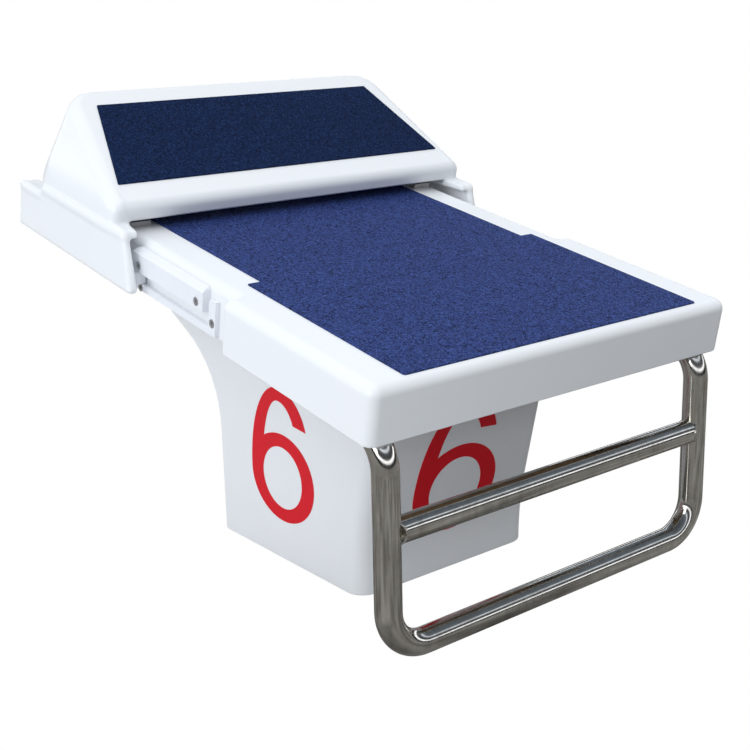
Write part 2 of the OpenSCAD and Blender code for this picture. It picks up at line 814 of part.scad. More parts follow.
module cross_plate() {
    color("silver") on_platform() difference() {
        translate([-cross_half, cross_y0, side_foot])
            cube([2 * cross_half, cross_y1 - cross_y0, cross_t]);
        both_sides() {
            for (y = [cross_y0 + 10, cross_y1 - 10])
                translate([flange_screw_x, y, side_foot - 1])
                    cylinder(d = screw_d + 0.5, h = cross_t + 2, $fn = 24);
            for (y = [-1, 1])
                translate([bearing_x, shaft_at + y * 14, side_foot - 1])
                    cylinder(d = screw_d + 0.5, h = cross_t + 2, $fn = 24);
        }
    }
}

// Pan-head screws that hold the cross plate down on the side flanges.
module cross_plate_screws() {
    color("silver") on_platform() both_sides() for (y = [cross_y0 + 10, cross_y1 - 10])
        translate([flange_screw_x, y, cross_top]) {
            cylinder(d = 9, h = 3, $fn = 32);
            translate([0, 0, -10]) cylinder(d = screw_d, h = 10, $fn = 24);
        }
}

module shaft_bearings() {
    color("dimgray") on_platform() both_sides() difference() {
        across(bearing_x - bearing_w / 2, bearing_x + bearing_w / 2)
            polygon(concat([[shaft_at - bearing_d / 2, cross_top], [shaft_at + bearing_d / 2, cross_top],
                            [shaft_at + bearing_d / 2, cross_top + 7]],
                    arc([shaft_at, shaft_z], 12, 0, 180, 16), [[shaft_at - bearing_d / 2, cross_top + 7]]));
        across(bearing_x - bearing_w, bearing_x + bearing_w)
            translate([shaft_at, shaft_z]) circle(r = shaft_d / 2 + shaft_fit, $fn = 64);
        for (y = [-1, 1])
            translate([bearing_x, shaft_at + y * 14, cross_top - 1])
                cylinder(d = screw_d + 0.5, h = 9, $fn = 24);
    }
}

module bearing_screws() {
    color("silver") on_platform() both_sides() for (y = [-1, 1])
        translate([bearing_x, shaft_at + y * 14, side_foot - 4]) {
            cylinder(d = screw_d, h = cross_t + 4 + 6, $fn = 24);
            cylinder(d = 8, h = 4, $fn = 6);
        }
}

module lock_shaft() {
    color("silver") on_platform() across(-shaft_len / 2, shaft_len / 2)
        translate([shaft_at, shaft_z]) circle(d = shaft_d, $fn = 64);
}

module shaft_ring(x0, x1, r) {
    across(x0, x1) translate([shaft_at, shaft_z]) difference() {
        circle(r = r, $fn = 48);
        circle(d = shaft_d, $fn = 64);
    }
}

module shaft_collars() {
    x = bearing_x + bearing_w / 2 + gap;
    color("silver") on_platform() both_sides() shaft_ring(x, x + 9, collar_r);
}

// Hooked dogs over the racks, drawn lifted; each drops into a slot.
module lock_dogs() {
    tip = shaft_at + dog_reach - 2;
    half = 5;
    color("silver") on_platform() both_sides() difference() {
        across(rack_x - half, rack_x + half) difference() {
            union() {
                translate([shaft_at, shaft_z]) circle(r = hub_r, $fn = 48);
                polygon([[shaft_at, shaft_z + hub_r], [tip + 10, shaft_z + 2], [tip + 10, rack_t + 3.5],
                         [tip, rack_t + 3.5], [tip, shaft_z - 7], [shaft_at + 8, shaft_z - 7.5]]);
            }
            translate([shaft_at, shaft_z]) circle(d = shaft_d, $fn = 64);
        }
        pin_at(rack_x);
    }
}

// Arms that carry the grip out through the opening in the rear face.
module lock_arms() {
    across_arm = 7;
    color("silver") on_platform() both_sides() difference() {
        across(arm_x - arm_t / 2, arm_x + arm_t / 2) difference() {
            union() {
                translate([shaft_at, shaft_z]) circle(r = hub_r, $fn = 48);
                translate(grip_at) circle(r = grip_d / 2 + 3, $fn = 48);
                polygon([[shaft_at, shaft_z - across_arm], [shaft_at, shaft_z + across_arm],
                         grip_at + [0, across_arm], grip_at - [0, across_arm]]);
            }
            translate([shaft_at, shaft_z]) circle(d = shaft_d, $fn = 64);
            translate(grip_at) circle(d = grip_d, $fn = 48);
        }
        pin_at(arm_x);
    }
}

module lock_grip() {
    color("black") on_platform() across(-grip_len / 2, grip_len / 2)
        translate(grip_at) circle(d = grip_d, $fn = 48);
}

// Radial pin that keys a hub to the shaft, at x across.
module pin_at(x) {
    translate([x, shaft_at, shaft_z + shaft_d / 2]) cylinder(d = pin_d, h = hub_r - shaft_d / 2, $fn = 24);
}

// Roll pins that key the arms and dogs to the shaft.
module shaft_pins() {
    color("silver") on_platform() both_sides() for (x = [arm_x, rack_x])
        pin_at(x);
}

/* ---------- guides that run on the rails ---------- */

guide_x0 = rear_half + 1.5;
guide_x1 = skirt_x - skirt_t;
front_guide_at = lip_at - 33;
front_guide_len = 15;
rear_guide_at = tail_end - 59;
rear_guide_len = 25;
guide_play = 0.3;

// Blocks in the channel between the upper and the lower rail.
module front_guides() {
    low = low_top + guide_play;
    high = -rail_low - guide_play;
    color("white") on_platform() both_sides() across(guide_x0, guide_x1)
        polygon([[front_guide_at, low], [front_guide_at + front_guide_len, low],
                 [front_guide_at + front_guide_len, high], [front_guide_at, high]]);
}

// Blocks that rest on the lower rail near the tail.
module rear_guides() {
    low = low_top + guide_play;
    color("white") on_platform() both_sides() across(guide_x0, guide_x1)
        polygon([[rear_guide_at, low], [rear_guide_at + rear_guide_len, low],
                 [rear_guide_at + rear_guide_len, low + 24], [rear_guide_at, low + 24]]);
}

pedestal_shell();
anchor_plate();
frame_uprights();
frame_gussets();
head_plate();
head_bolts();
platform_shell();
platform_core();
platform_mat();
upper_rail_left();
upper_rail_right();
lower_rail_left();
lower_rail_right();
rail_screws();
handle_loop();
handle_mid_rail();
handle_saddles();
saddle_blocks();
saddle_bolts();
lock_rack_left();
lock_rack_right();
rack_screws();
lane_number_front();
lane_number_rear();
lane_number_left();
lane_number_right();
back_plate_shell();
back_plate_mat();
cross_plate();
cross_plate_screws();
front_guides();
rear_guides();
shaft_bearings();
bearing_screws();
lock_shaft();
shaft_collars();
lock_dogs();
lock_arms();
lock_grip();
shaft_pins();
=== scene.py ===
"""Looks of a swimming starting block: gelcoat mouldings, gritty mats, a polished handle and its hardware.

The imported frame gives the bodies, the boxes and the joint axes. This script lays moulded shells, mats,
tubes and screws over the plain CAD solids, dresses every piece, and sets the floor, lights and camera.
Lengths inside the classes are millimetres in the platform's own directions: u across, v along the
platform from its front edge, w out of its top face. Place turns them into metres in the row's frame.
"""

import json
import logging
import math
from dataclasses import dataclass, field
from enum import Enum
from typing import Callable, Iterable, Sequence, Union

import bmesh
import bpy
import numpy as np
from mathutils import Matrix, Vector


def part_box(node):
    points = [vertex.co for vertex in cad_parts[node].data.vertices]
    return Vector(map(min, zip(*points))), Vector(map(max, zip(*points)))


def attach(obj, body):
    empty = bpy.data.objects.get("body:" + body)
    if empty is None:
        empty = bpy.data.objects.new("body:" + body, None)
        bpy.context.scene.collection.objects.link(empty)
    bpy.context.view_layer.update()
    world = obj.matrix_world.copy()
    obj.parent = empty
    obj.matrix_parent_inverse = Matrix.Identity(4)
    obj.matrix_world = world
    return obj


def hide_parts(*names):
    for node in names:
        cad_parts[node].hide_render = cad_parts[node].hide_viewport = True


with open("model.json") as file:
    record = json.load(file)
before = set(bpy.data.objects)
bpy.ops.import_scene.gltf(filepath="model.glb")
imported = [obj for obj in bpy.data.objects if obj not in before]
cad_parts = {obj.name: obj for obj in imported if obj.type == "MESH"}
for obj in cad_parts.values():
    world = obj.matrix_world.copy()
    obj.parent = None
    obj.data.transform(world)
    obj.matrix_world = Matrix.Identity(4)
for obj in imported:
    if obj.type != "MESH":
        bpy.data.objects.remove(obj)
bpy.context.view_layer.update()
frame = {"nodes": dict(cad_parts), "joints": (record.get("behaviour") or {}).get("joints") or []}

log = logging.getLogger("starting_block")

MM = 0.001
Point2 = tuple[float, float]
Ring = list[Vector]
Lay = Callable[[float, float, float], Vector]
Number = Union[float, "Value"]


class Body(Enum):
    """The rigid bodies that pieces ride on."""

    BLOCK = "block"
    BACK_PLATE = "back_plate"
    LOCK_BAR = "lock_bar"


class Slot(Enum):
    """The record's material slots."""

    GELCOAT = "gelcoat"
    DECK_MAT = "platform_mat"
    FOOT_MAT = "plate_mat"
    RAIL = "rail_plastic"
    POLISHED = "polished_steel"
    BRUSHED = "brushed_steel"
    FILM = "number_film"
    PLY = "core_ply"
    BLACK = "black_plastic"
    GRIP = "grip_rubber"


# ---------------------------------------------------------------- shader maths


class Tree:
    """A node tree that is built by calls."""

    def __init__(self, node_tree: bpy.types.NodeTree) -> None:
        """Empties a node tree and keeps hold of it.

        Args:
            node_tree: The node tree of a material, a world or a modifier.
        """
        self.nodes, self.links = node_tree.nodes, node_tree.links
        self.nodes.clear()

    @classmethod
    def on(cls, owner: Union[bpy.types.Material, bpy.types.World]) -> "Tree":
        """Starts an empty tree on a material or a world."""
        owner.use_nodes = True
        return cls(owner.node_tree)

    def add(self, kind: str, settings: dict | None = None, **sockets: object) -> bpy.types.Node:
        """Adds a node.

        Args:
            kind: The node's type.
            settings: Properties that are set first, such as a Math node's operation.
            **sockets: Input values or links, by socket name with spaces as underscores, or in0, in1.

        Returns:
            The new node.
        """
        node = self.nodes.new(kind)
        for name, value in (settings or {}).items():
            if name == "stops":
                self._set_stops(node, value)
            else:
                setattr(node, name, value)
        for name, value in sockets.items():
            key = int(name[2:]) if name.startswith("in") and name[2:].isdigit() else name.replace("_", " ")
            self.plug(node.inputs[key], value)
        return node

    def plug(self, socket: bpy.types.NodeSocket, given: object) -> None:
        """Links something to an input, or sets the input's own number, vector or colour.

        Args:
            socket: The input.
            given: A Value or a socket, which is linked, or anything else, which is set.
        """
        if isinstance(given, Value):
            given = given.socket
        if isinstance(given, bpy.types.NodeSocket):
            self.links.new(given, socket)
        else:
            socket.default_value = given

    @staticmethod
    def _set_stops(node: bpy.types.Node, stops: Sequence[tuple[float, Sequence[float]]]) -> None:
        """Sets a ramp's stops.

        Args:
            node: A Color Ramp node.
            stops: Position and colour of each stop, in order.
        """
        ramp = node.color_ramp.elements
        while len(ramp) > 1:
            ramp.remove(ramp[-1])
        ramp[0].position, ramp[0].color = stops[0][0], (*stops[0][1], 1.0)
        for place, colour in stops[1:]:
            ramp.new(place).color = (*colour, 1.0)

    def place(self, scale: Sequence[float] = (1.0, 1.0, 1.0)) -> bpy.types.NodeSocket:
        """Object coordinates, scaled along each axis."""
        source = self.add("ShaderNodeTexCoord").outputs["Object"]
        scaled = self.add("ShaderNodeVectorMath", {"operation": "MULTIPLY"}, in0=source, in1=tuple(scale))
        return scaled.outputs[0]

    def noise(self, where: bpy.types.NodeSocket, scale: float, detail: float, rough: float = 0.5) -> "Value":
        """Smooth noise from 0 to 1.

        Args:
            where: The vector it reads.
            scale: Waves to the metre, about.
            detail: Octaves.
            rough: Share of the finer octaves.

        Returns:
            The noise.
        """
        node = self.add("ShaderNodeTexNoise", None, Vector=where, Scale=scale, Detail=detail, Roughness=rough)
        return Value(self, node.outputs["Fac"])

    def cells(self, where: bpy.types.NodeSocket, scale: float) -> tuple["Value", bpy.types.NodeSocket]:
        """Random cells, such as grains of grit.

        Args:
            where: The vector they read.
            scale: Cells to the metre, about.

        Returns:
            Distance to each cell's middle, and each cell's own random colour.
        """
        node = self.add("ShaderNodeTexVoronoi", None, Vector=where, Scale=scale)
        return Value(self, node.outputs["Distance"]), node.outputs["Color"]

    def blend(self, share: Number, first: object, second: object) -> bpy.types.NodeSocket:
        """Mixes two colours.

        Args:
            share: 0 gives the first colour, 1 the second.
            first: A colour or a colour socket.
            second: A colour or a colour socket.

        Returns:
            The colour socket.
        """
        node = self.add("ShaderNodeMix", {"data_type": "RGBA"}, in0=share)
        for socket, given in zip((s for s in node.inputs if s.type == "RGBA"), (first, second)):
            self.plug(socket, (*given, 1.0) if isinstance(given, tuple) else given)
        return next(s for s in node.outputs if s.type == "RGBA")

    def bump(self, height: "Value", depth: float, strength: float = 1.0) -> bpy.types.NodeSocket:
        """A bumped normal.

        Args:
            height: The height field, from 0 to 1.
            depth: Real depth of the field, in metres.
            strength: Share of the effect.

        Returns:
            The normal socket.
        """
        return self.add("ShaderNodeBump", None, Height=height, Distance=depth, Strength=strength).outputs[0]


class Value:
    """A number socket that takes part in arithmetic."""

    def __init__(self, tree: Tree, socket: bpy.types.NodeSocket) -> None:
        """Wraps a socket of a tree."""
        self.tree = tree
        self.socket = socket

    def _math(self, operation: str, *others: Number, clamp: bool = False) -> "Value":
        """Adds one Math node on this value and others.

        Args:
            operation: The node's operation.
            *others: Its other inputs, in order.
            clamp: True keeps the result from 0 to 1.

        Returns:
            The result.
        """
        inputs = {f"in{i}": v for i, v in enumerate((self, *others))}
        node = self.tree.add("ShaderNodeMath", {"operation": operation, "use_clamp": clamp}, **inputs)
        return Value(self.tree, node.outputs[0])

    def __add__(self, other: Number) -> "Value":
        """self + other"""
        return self._math("ADD", other)

    def __sub__(self, other: Number) -> "Value":
        """self - other"""
        return self._math("SUBTRACT", other)

    def __mul__(self, other: Number) -> "Value":
        """self * other"""
        return self._math("MULTIPLY", other)

    def __rsub__(self, other: float) -> "Value":
        """other - self"""
        node = self.tree.add("ShaderNodeMath", {"operation": "SUBTRACT"}, in0=other, in1=self)
        return Value(self.tree, node.outputs[0])

    __radd__ = __add__
    __rmul__ = __mul__

    def between(self, low: float, high: float) -> "Value":
        """0 below low, 1 above high, and a straight slope between."""
        return (self - low)._math("DIVIDE", high - low, clamp=True)


# ---------------------------------------------------------------- finishes


@dataclass(frozen=True)
class Finish:
    """A surface: its colour, gloss and grain. Subclasses add what varies over it."""

    name: str
    slot: Slot
    colour: tuple[float, float, float]
    rough: float = 0.5
    metal: float = 0.0
    coat: float = 0.0
    coat_rough: float = 0.16
    shine: float = 0.5

    def dress(self, tree: Tree, shader: bpy.types.Node) -> None:
        """Links what varies over the surface."""

    def material(self) -> bpy.types.Material:
        """Builds the material, once.

        Returns:
            The material.
        """
        found = bpy.data.materials.get(self.name)
        if found:
            return found
        made = bpy.data.materials.new(self.name)
        tree = Tree.on(made)
        shader = tree.add(
            "ShaderNodeBsdfPrincipled",
            None,
            Base_Color=(*self.colour, 1.0),
            Roughness=self.rough,
            Metallic=self.metal,
            Coat_Weight=self.coat,
            Coat_Roughness=self.coat_rough,
            Specular_IOR_Level=self.shine,
        )
        out = tree.add("ShaderNodeOutputMaterial")
        tree.links.new(shader.outputs[0], out.inputs[0])
        made.diffuse_color = (*self.colour, 1.0)
        self.dress(tree, shader)
        return made

    @staticmethod
    def feed(tree: Tree, shader: bpy.types.Node, **sockets: object) -> None:
        """Links values to the shader's own sockets, named with spaces as underscores."""
        for name, value in sockets.items():
            tree.plug(shader.inputs[name.replace("_", " ")], value)

    def shaded(self, *factors: float) -> tuple[float, ...]:
        """The finish's colour times one factor, or times one for each channel."""
        return tuple(c * f for c, f in zip(self.colour, factors * 3))


@dataclass(frozen=True)
class Gelcoat(Finish):
    """White gelcoat: faint mottling, a soft ripple from the mould, and dulled, rubbed patches."""

    def dress(self, tree: Tree, shader: bpy.types.Node) -> None:
        """Links mottling, gloss and ripple.

        Args:
            tree: The gelcoat's node tree.
            shader: Its main shader.
        """
        where = tree.place()
        cloud = tree.noise(where, 5.0, 3.0)
        specks = tree.noise(where, 900.0, 1.0)
        rubbed = tree.noise(where, 14.0, 2.0, 0.5)
        warm = self.shaded(0.985, 0.975, 0.955)
        mottled = cloud.between(0.4, 0.8) * 0.25 + specks.between(0.58, 0.8) * 0.05
        self.feed(tree, shader, Base_Color=tree.blend(mottled, self.colour, warm))
        self.feed(tree, shader, Roughness=rubbed.between(0.35, 0.85) * 0.08 + self.rough)
        ripple = tree.noise(where, 16.0, 0.0) * 0.9 + tree.noise(where, 420.0, 2.0) * 0.04
        self.feed(tree, shader, Normal=tree.bump(ripple, 0.0002, 0.5))


@dataclass(frozen=True)
class GritMat(Finish):
    """Non-slip mat: packed grains of grit under a coloured binder, some catching the light."""

    light: tuple[float, float, float] = (0.1, 0.14, 0.3)
    dark: tuple[float, float, float] = (0.01, 0.015, 0.05)
    grains: float = 900.0

    def dress(self, tree: Tree, shader: bpy.types.Node) -> None:
        """Links grains, clumps and their relief.

        Args:
            tree: The mat's node tree.
            shader: Its main shader.
        """
        where = tree.place()
        round_off, tints = tree.cells(where, self.grains)
        coarse, coarse_tints = tree.cells(where, self.grains * 0.42)
        tint = Value(tree, tree.add("ShaderNodeSeparateColor", None, Color=tints).outputs[0])
        coarse_tint = Value(tree, tree.add("ShaderNodeSeparateColor", None, Color=coarse_tints).outputs[1])
        clumps = tree.noise(where, 240.0, 3.0, 0.6)
        worn = tree.noise(where, 7.0, 2.0)
        shade = tree.blend((tint * 0.55 + coarse_tint * 0.45).between(0.25, 0.62), self.dark, self.colour)
        lit = (tint.between(0.72, 0.98) * 0.6 + clumps.between(0.52, 0.72) * 0.4) * (worn * 0.5 + 0.6)
        colour = tree.blend(lit, shade, self.light)
        self.feed(tree, shader, Base_Color=colour)
        self.feed(tree, shader, Roughness=tint * -0.25 + self.rough)
        relief = (1 - round_off * 1.2) * (tint * 0.5 + 0.5) + (1 - coarse) * 0.5
        self.feed(tree, shader, Normal=tree.bump(relief * 0.6 + clumps * 0.4, 0.0005, 0.9))


@dataclass(frozen=True)
class PolishedSteel(Finish):
    """Polished stainless tube: buffing marks round the tube, hazy smudges and fine scuffs."""

    def dress(self, tree: Tree, shader: bpy.types.Node) -> None:
        """Links haze, buffing marks and stains.

        Args:
            tree: The steel's node tree.
            shader: Its main shader.
        """
        haze = tree.noise(tree.place(), 22.0, 5.0, 0.6)
        marks = tree.noise(tree.place((1.0, 1.0, 9.0)), 160.0, 2.0)
        streaks = tree.noise(tree.place((1.0, 1.0, 0.12)), 120.0, 4.0, 0.65)
        stain = (haze.between(0.38, 0.72) * 0.6 + 0.25) * streaks.between(0.32, 0.66)
        dull = self.shaded(0.50, 0.49, 0.46)
        self.feed(tree, shader, Base_Color=tree.blend(stain, self.colour, dull))
        self.feed(tree, shader, Roughness=haze.between(0.35, 0.85) * 0.12 + streaks * 0.07 + self.rough)
        self.feed(tree, shader, Normal=tree.bump(marks * 0.4 + streaks * 0.6, 0.00004, 0.6))


@dataclass(frozen=True)
class BrushedSteel(Finish):
    """Plate and bar stock: long fine brush marks and a few dull patches."""

    along: tuple[float, float, float] = (0.06, 1.0, 1.0)

    def dress(self, tree: Tree, shader: bpy.types.Node) -> None:
        """Links brush marks and patches.

        Args:
            tree: The steel's node tree.
            shader: Its main shader.
        """
        marks = tree.noise(tree.place(self.along), 1400.0, 2.0, 0.6)
        patch = tree.noise(tree.place(), 18.0, 4.0, 0.6)
        dark = self.shaded(0.72)
        dulled = patch.between(0.4, 0.75) * 0.6 + marks * 0.25
        self.feed(tree, shader, Base_Color=tree.blend(dulled, self.colour, dark))
        self.feed(tree, shader, Roughness=marks * 0.16 + patch * 0.12 + self.rough)
        self.feed(tree, shader, Normal=tree.bump(marks, 0.00005, 0.5))


@dataclass(frozen=True)
class MouldedPlastic(Finish):
    """Machined or moulded plastic: a fine matt grain and light scuffing."""

    grain: float = 1100.0
    depth: float = 0.00005

    def dress(self, tree: Tree, shader: bpy.types.Node) -> None:
        """Links grain and scuffs.

        Args:
            tree: The plastic's node tree.
            shader: Its main shader.
        """
        where = tree.place()
        grain = tree.noise(where, self.grain, 2.0, 0.6)
        scuff = tree.noise(where, 45.0, 5.0, 0.65)
        worn = tuple(min(1.0, c * 0.9 + 0.015) for c in self.colour)
        self.feed(tree, shader, Base_Color=tree.blend(scuff.between(0.5, 0.8) * 0.7, self.colour, worn))
        self.feed(tree, shader, Roughness=scuff * 0.14 + grain * 0.06 + self.rough)
        self.feed(tree, shader, Normal=tree.bump(grain * 0.6 + scuff * 0.4, self.depth, 0.6))


@dataclass(frozen=True)
class VinylFilm(Finish):
    """Self-adhesive film: even colour, slight orange peel, a few dull rubs."""

    def dress(self, tree: Tree, shader: bpy.types.Node) -> None:
        """Links rubs and peel.

        Args:
            tree: The film's node tree.
            shader: Its main shader.
        """
        where = tree.place()
        rubs = tree.noise(where, 60.0, 4.0, 0.6)
        deep = self.shaded(0.86)
        self.feed(tree, shader, Base_Color=tree.blend(rubs.between(0.45, 0.8) * 0.6, self.colour, deep))
        self.feed(tree, shader, Roughness=rubs * 0.2 + self.rough)
        self.feed(tree, shader, Normal=tree.bump(tree.noise(where, 300.0, 1.0), 0.00006, 0.5))


@dataclass(frozen=True)
class MarinePly(Finish):
    """Resin-sealed plywood: long grain bands and glossy resin pools."""

    def dress(self, tree: Tree, shader: bpy.types.Node) -> None:
        """Links grain and resin.

        Args:
            tree: The plywood's node tree.
            shader: Its main shader.
        """
        grain = tree.noise(tree.place((1.0, 0.05, 1.0)), 160.0, 5.0, 0.6)
        pools = tree.noise(tree.place(), 30.0, 3.0)
        dark = self.shaded(0.6)
        self.feed(tree, shader, Base_Color=tree.blend(grain.between(0.35, 0.7), self.colour, dark))
        self.feed(tree, shader, Roughness=pools * -0.2 + self.rough)
        self.feed(tree, shader, Normal=tree.bump(grain, 0.0002, 0.6))


GELCOAT = Gelcoat("gelcoat_white", Slot.GELCOAT, (0.85, 0.872, 0.893), rough=0.30, coat=0.12)
DECK_GRIT = GritMat(
    "deck_grit_navy",
    Slot.DECK_MAT,
    (0.024, 0.048, 0.200),
    rough=0.95,
    shine=0.18,
    light=(0.070, 0.125, 0.38),
    dark=(0.006, 0.012, 0.050),
)
FOOT_GRIT = GritMat(
    "foot_grit_dark_navy",
    Slot.FOOT_MAT,
    (0.0035, 0.0150, 0.062),
    rough=0.98,
    shine=0.12,
    light=(0.018, 0.050, 0.16),
    dark=(0.002, 0.007, 0.030),
)
RAIL_PLASTIC = MouldedPlastic("rail_white", Slot.RAIL, (0.82, 0.84, 0.88), rough=0.36)
POLISHED = PolishedSteel("steel_polished", Slot.POLISHED, (0.66, 0.64, 0.60), rough=0.055, metal=1.0)
BRUSHED = BrushedSteel("steel_brushed", Slot.BRUSHED, (0.50, 0.50, 0.50), rough=0.26, metal=1.0)
SCREW_STEEL = BrushedSteel(
    "steel_screw", Slot.BRUSHED, (0.66, 0.66, 0.68), rough=0.42, metal=1.0, along=(1.0, 1.0, 1.0)
)
FILM = VinylFilm("film_red", Slot.FILM, (0.72, 0.003, 0.014), rough=0.34, shine=0.3)
PLY = MarinePly("ply_marine", Slot.PLY, (0.42, 0.27, 0.14), rough=0.55)
BLACK_PLASTIC = MouldedPlastic("plastic_black", Slot.BLACK, (0.025, 0.025, 0.027), rough=0.42)
GRIP_RUBBER = MouldedPlastic(
    "rubber_grip", Slot.GRIP, (0.018, 0.018, 0.018), rough=0.72, grain=500.0, depth=0.0002
)


# ---------------------------------------------------------------- places and meshes


class Place:
    """Turns platform lengths (u, v, w) in millimetres into points in the row's frame, in metres."""

    def __init__(self, platform_node: str, slide_joint: str, edge_r: float, skirt: float) -> None:
        """Reads the slope from the slide's axis and the front top edge from the platform's box.

        Args:
            platform_node: The CAD node of the platform shell.
            slide_joint: The joint whose axis runs down the platform.
            edge_r: Radius of the platform's top edges, mm.
            skirt: Depth of its skirt, mm.
        """
        axis = next(Vector(j["axis"]) for j in frame["joints"] if j["name"] == slide_joint)
        self.along = -axis.normalized()
        self.out = Vector((1, 0, 0)).cross(self.along)
        low, high = (Vector(c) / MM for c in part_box(platform_node))
        cos, sin = self.along.y, self.along.z
        front = low.y + edge_r - edge_r * (cos + sin)
        self.length = (high.y - front - skirt * sin) / cos
        top = high.z - (self.length - edge_r) * sin + edge_r * cos - edge_r
        self.start = Vector((0, front, top))
        self.tilt = math.degrees(math.atan2(sin, cos))

    def __call__(self, u: float, v: float, w: float) -> Vector:
        """The point at u, v, w, in metres."""
        return (self.start + Vector((u, 0, 0)) + self.along * v + self.out * w) * MM

    def turned(self, ways: np.ndarray) -> np.ndarray:
        """Directions u, v, w, one to a row, in the row's frame."""
        return ways @ np.array([[1, 0, 0], list(self.along), list(self.out)])

    def many(self, points: np.ndarray) -> np.ndarray:
        """Points u, v, w, one to a row, in metres."""
        return (self.turned(points) + np.array(self.start)) * MM

    def depth(self, y: float, w: float) -> float:
        """Height in mm, at row place y mm, of the plane w above the top face."""
        return self.start.z + (y - self.start.y) * self.along.z / self.along.y + w / self.along.y


EDGE_R = 12.0
SKIRT = 62.0
place = Place("platform_shell", "plate_slide", EDGE_R, SKIRT)


@dataclass(frozen=True)
class Corner:
    """A corner of an outline, with its rounding radius, in mm."""

    x: float
    y: float
    r: float


def mirrored(right: list[Corner]) -> list[Corner]:
    """A symmetrical outline from the corners of its right half, front to rear."""
    return right + [Corner(-c.x, c.y, c.r) for c in reversed(right)]


def rounded(corners: Sequence[Corner], inset: float, steps: int, least: float = 0.4) -> list[Point2]:
    """Outline with rounded corners, moved inwards.

    Args:
        corners: The corners, counter-clockwise.
        inset: How far the outline moves inwards.
        steps: Segments in each corner's arc.
        least: Smallest radius of an arc.

    Returns:
        The outline's points, the same number for every inset.
    """
    points: list[Point2] = []
    count = len(corners)
    for i, corner in enumerate(corners):
        before, after = corners[i - 1], corners[(i + 1) % count]
        here = Vector((corner.x, corner.y))
        into = (here - Vector((before.x, before.y))).normalized()
        away = (Vector((after.x, after.y)) - here).normalized()
        turn = into.x * away.y - into.y * away.x
        left_in, left_out = Vector((-into.y, into.x)), Vector((-away.y, away.x))
        spread = (left_in + left_out) / (1 + left_in.dot(left_out))
        moved = here + spread * inset
        radius = max(corner.r - inset if turn > 0 else corner.r + inset, least)
        reach = radius * abs(turn) / (1 + into.dot(away))
        side = 1 if turn > 0 else -1
        centre = moved - into * reach + left_in * radius * side
        start = -left_in * side
        angle = math.atan2(turn, into.dot(away))
        for k in range(steps + 1):
            spin = Matrix.Rotation(angle * k / steps, 2)
            spot = centre + (spin @ start) * radius
            points.append((spot.x, spot.y))
    return points


def new_piece(name: str, points: Iterable[Sequence[float]], faces: Sequence[Sequence[int]]) -> bpy.types.Object:
    """Makes an object at the origin from points in metres.

    Args:
        name: The piece's name.
        points: Its points in the row's frame.
        faces: Its faces, facing outwards.

    Returns:
        The object.
    """
    mesh = bpy.data.meshes.new(name)
    mesh.from_pydata([tuple(p) for p in points], [], [tuple(f) for f in faces])
    mesh.validate()
    piece = bpy.data.objects.new(name, mesh)
    bpy.context.scene.collection.objects.link(piece)
    return piece


def ring_faces(count: int, rings: int, closed: bool) -> list[tuple[int, ...]]:
    """Quads between neighbouring rings, and caps.

    Args:
        count: Points in a ring.
        rings: Number of rings.
        closed: True joins the last ring to the first, False caps both ends.

    Returns:
        The faces.
    """
    faces: list[tuple[int, ...]] = []
    for k in range(rings if closed else rings - 1):
        after = (k + 1) % rings
        for i in range(count):
            j = (i + 1) % count
            faces.append((k * count + i, k * count + j, after * count + j, after * count + i))
    if not closed:
        faces.append(tuple(range(count - 1, -1, -1)))
        faces.append(tuple((rings - 1) * count + i for i in range(count)))
    return faces


def loft(name: str, rings: Sequence[Sequence[Sequence[float]]], closed: bool = False) -> bpy.types.Object:
    """A piece through a stack of rings, each counter-clockwise seen from beyond the last one.

    Args:
        name: The piece's name.
        rings: Rings with the same number of points, in metres.
        closed: True for a stack that comes back to its first ring.

    Returns:
        The object.
    """
    points = [p for ring in rings for p in ring]
    return new_piece(name, points, ring_faces(len(rings[0]), len(rings), closed))


def smooth(piece: bpy.types.Object, angle: float) -> None:
    """Shades a piece smooth, with sharp edges where its faces meet at a large angle.

    Args:
        piece: The piece.
        angle: Least angle of a sharp edge, in degrees.
    """
    mesh = piece.data
    mesh.polygons.foreach_set("use_smooth", [True] * len(mesh.polygons))
    work = bmesh.new()
    work.from_mesh(mesh)
    limit = math.radians(angle)
    for edge in work.edges:
        edge.smooth = len(edge.link_faces) == 2 and edge.calc_face_angle(math.pi) < limit
    work.to_mesh(mesh)
    work.free()


def bake(piece: bpy.types.Object) -> None:
    """Applies a piece's modifiers to its mesh.

    Args:
        piece: The piece, which keeps its name and has no modifiers afterwards.
    """
    graph = bpy.context.evaluated_depsgraph_get()
    made = bpy.data.meshes.new_from_object(piece.evaluated_get(graph), depsgraph=graph)
    piece.modifiers.clear()
    old = piece.data
    piece.data = made
    made.name = piece.name
    bpy.data.meshes.remove(old)


def weigh_normals(piece: bpy.types.Object, angle: float) -> None:
    """Smooths a piece up to an angle and lets its flat faces set the shading of its rounded edges.

    Args:
        piece: The piece.
        angle: Least angle of a sharp edge, in degrees.
    """
    smooth(piece, angle)
    piece.modifiers.new("flats", "WEIGHTED_NORMAL").keep_sharp = True
    bake(piece)


def ride_as(piece: bpy.types.Object, finish: Finish, body: Body, *stands_for: str) -> None:
    """Dresses a piece and hands it to the frame.

    Args:
        piece: The piece.
        finish: Its finish.
        body: The body it rides on.
        *stands_for: CAD nodes that it replaces.
    """
    piece.data.materials.clear()
    piece.data.materials.append(finish.material())
    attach(piece, body.value)
    if stands_for:
        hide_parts(*stands_for)
    log.info("%s: %d faces, %s, on %s", piece.name, len(piece.data.polygons), finish.name, body.value)


def arc_points(steps: int, start: float, end: float) -> list[tuple[float, float]]:
    """Cosines and sines from one angle to another, in degrees."""
    angles = (math.radians(start + (end - start) * k / steps) for k in range(steps + 1))
    return [(math.cos(a), math.sin(a)) for a in angles]


# ---------------------------------------------------------------- shells made of rings


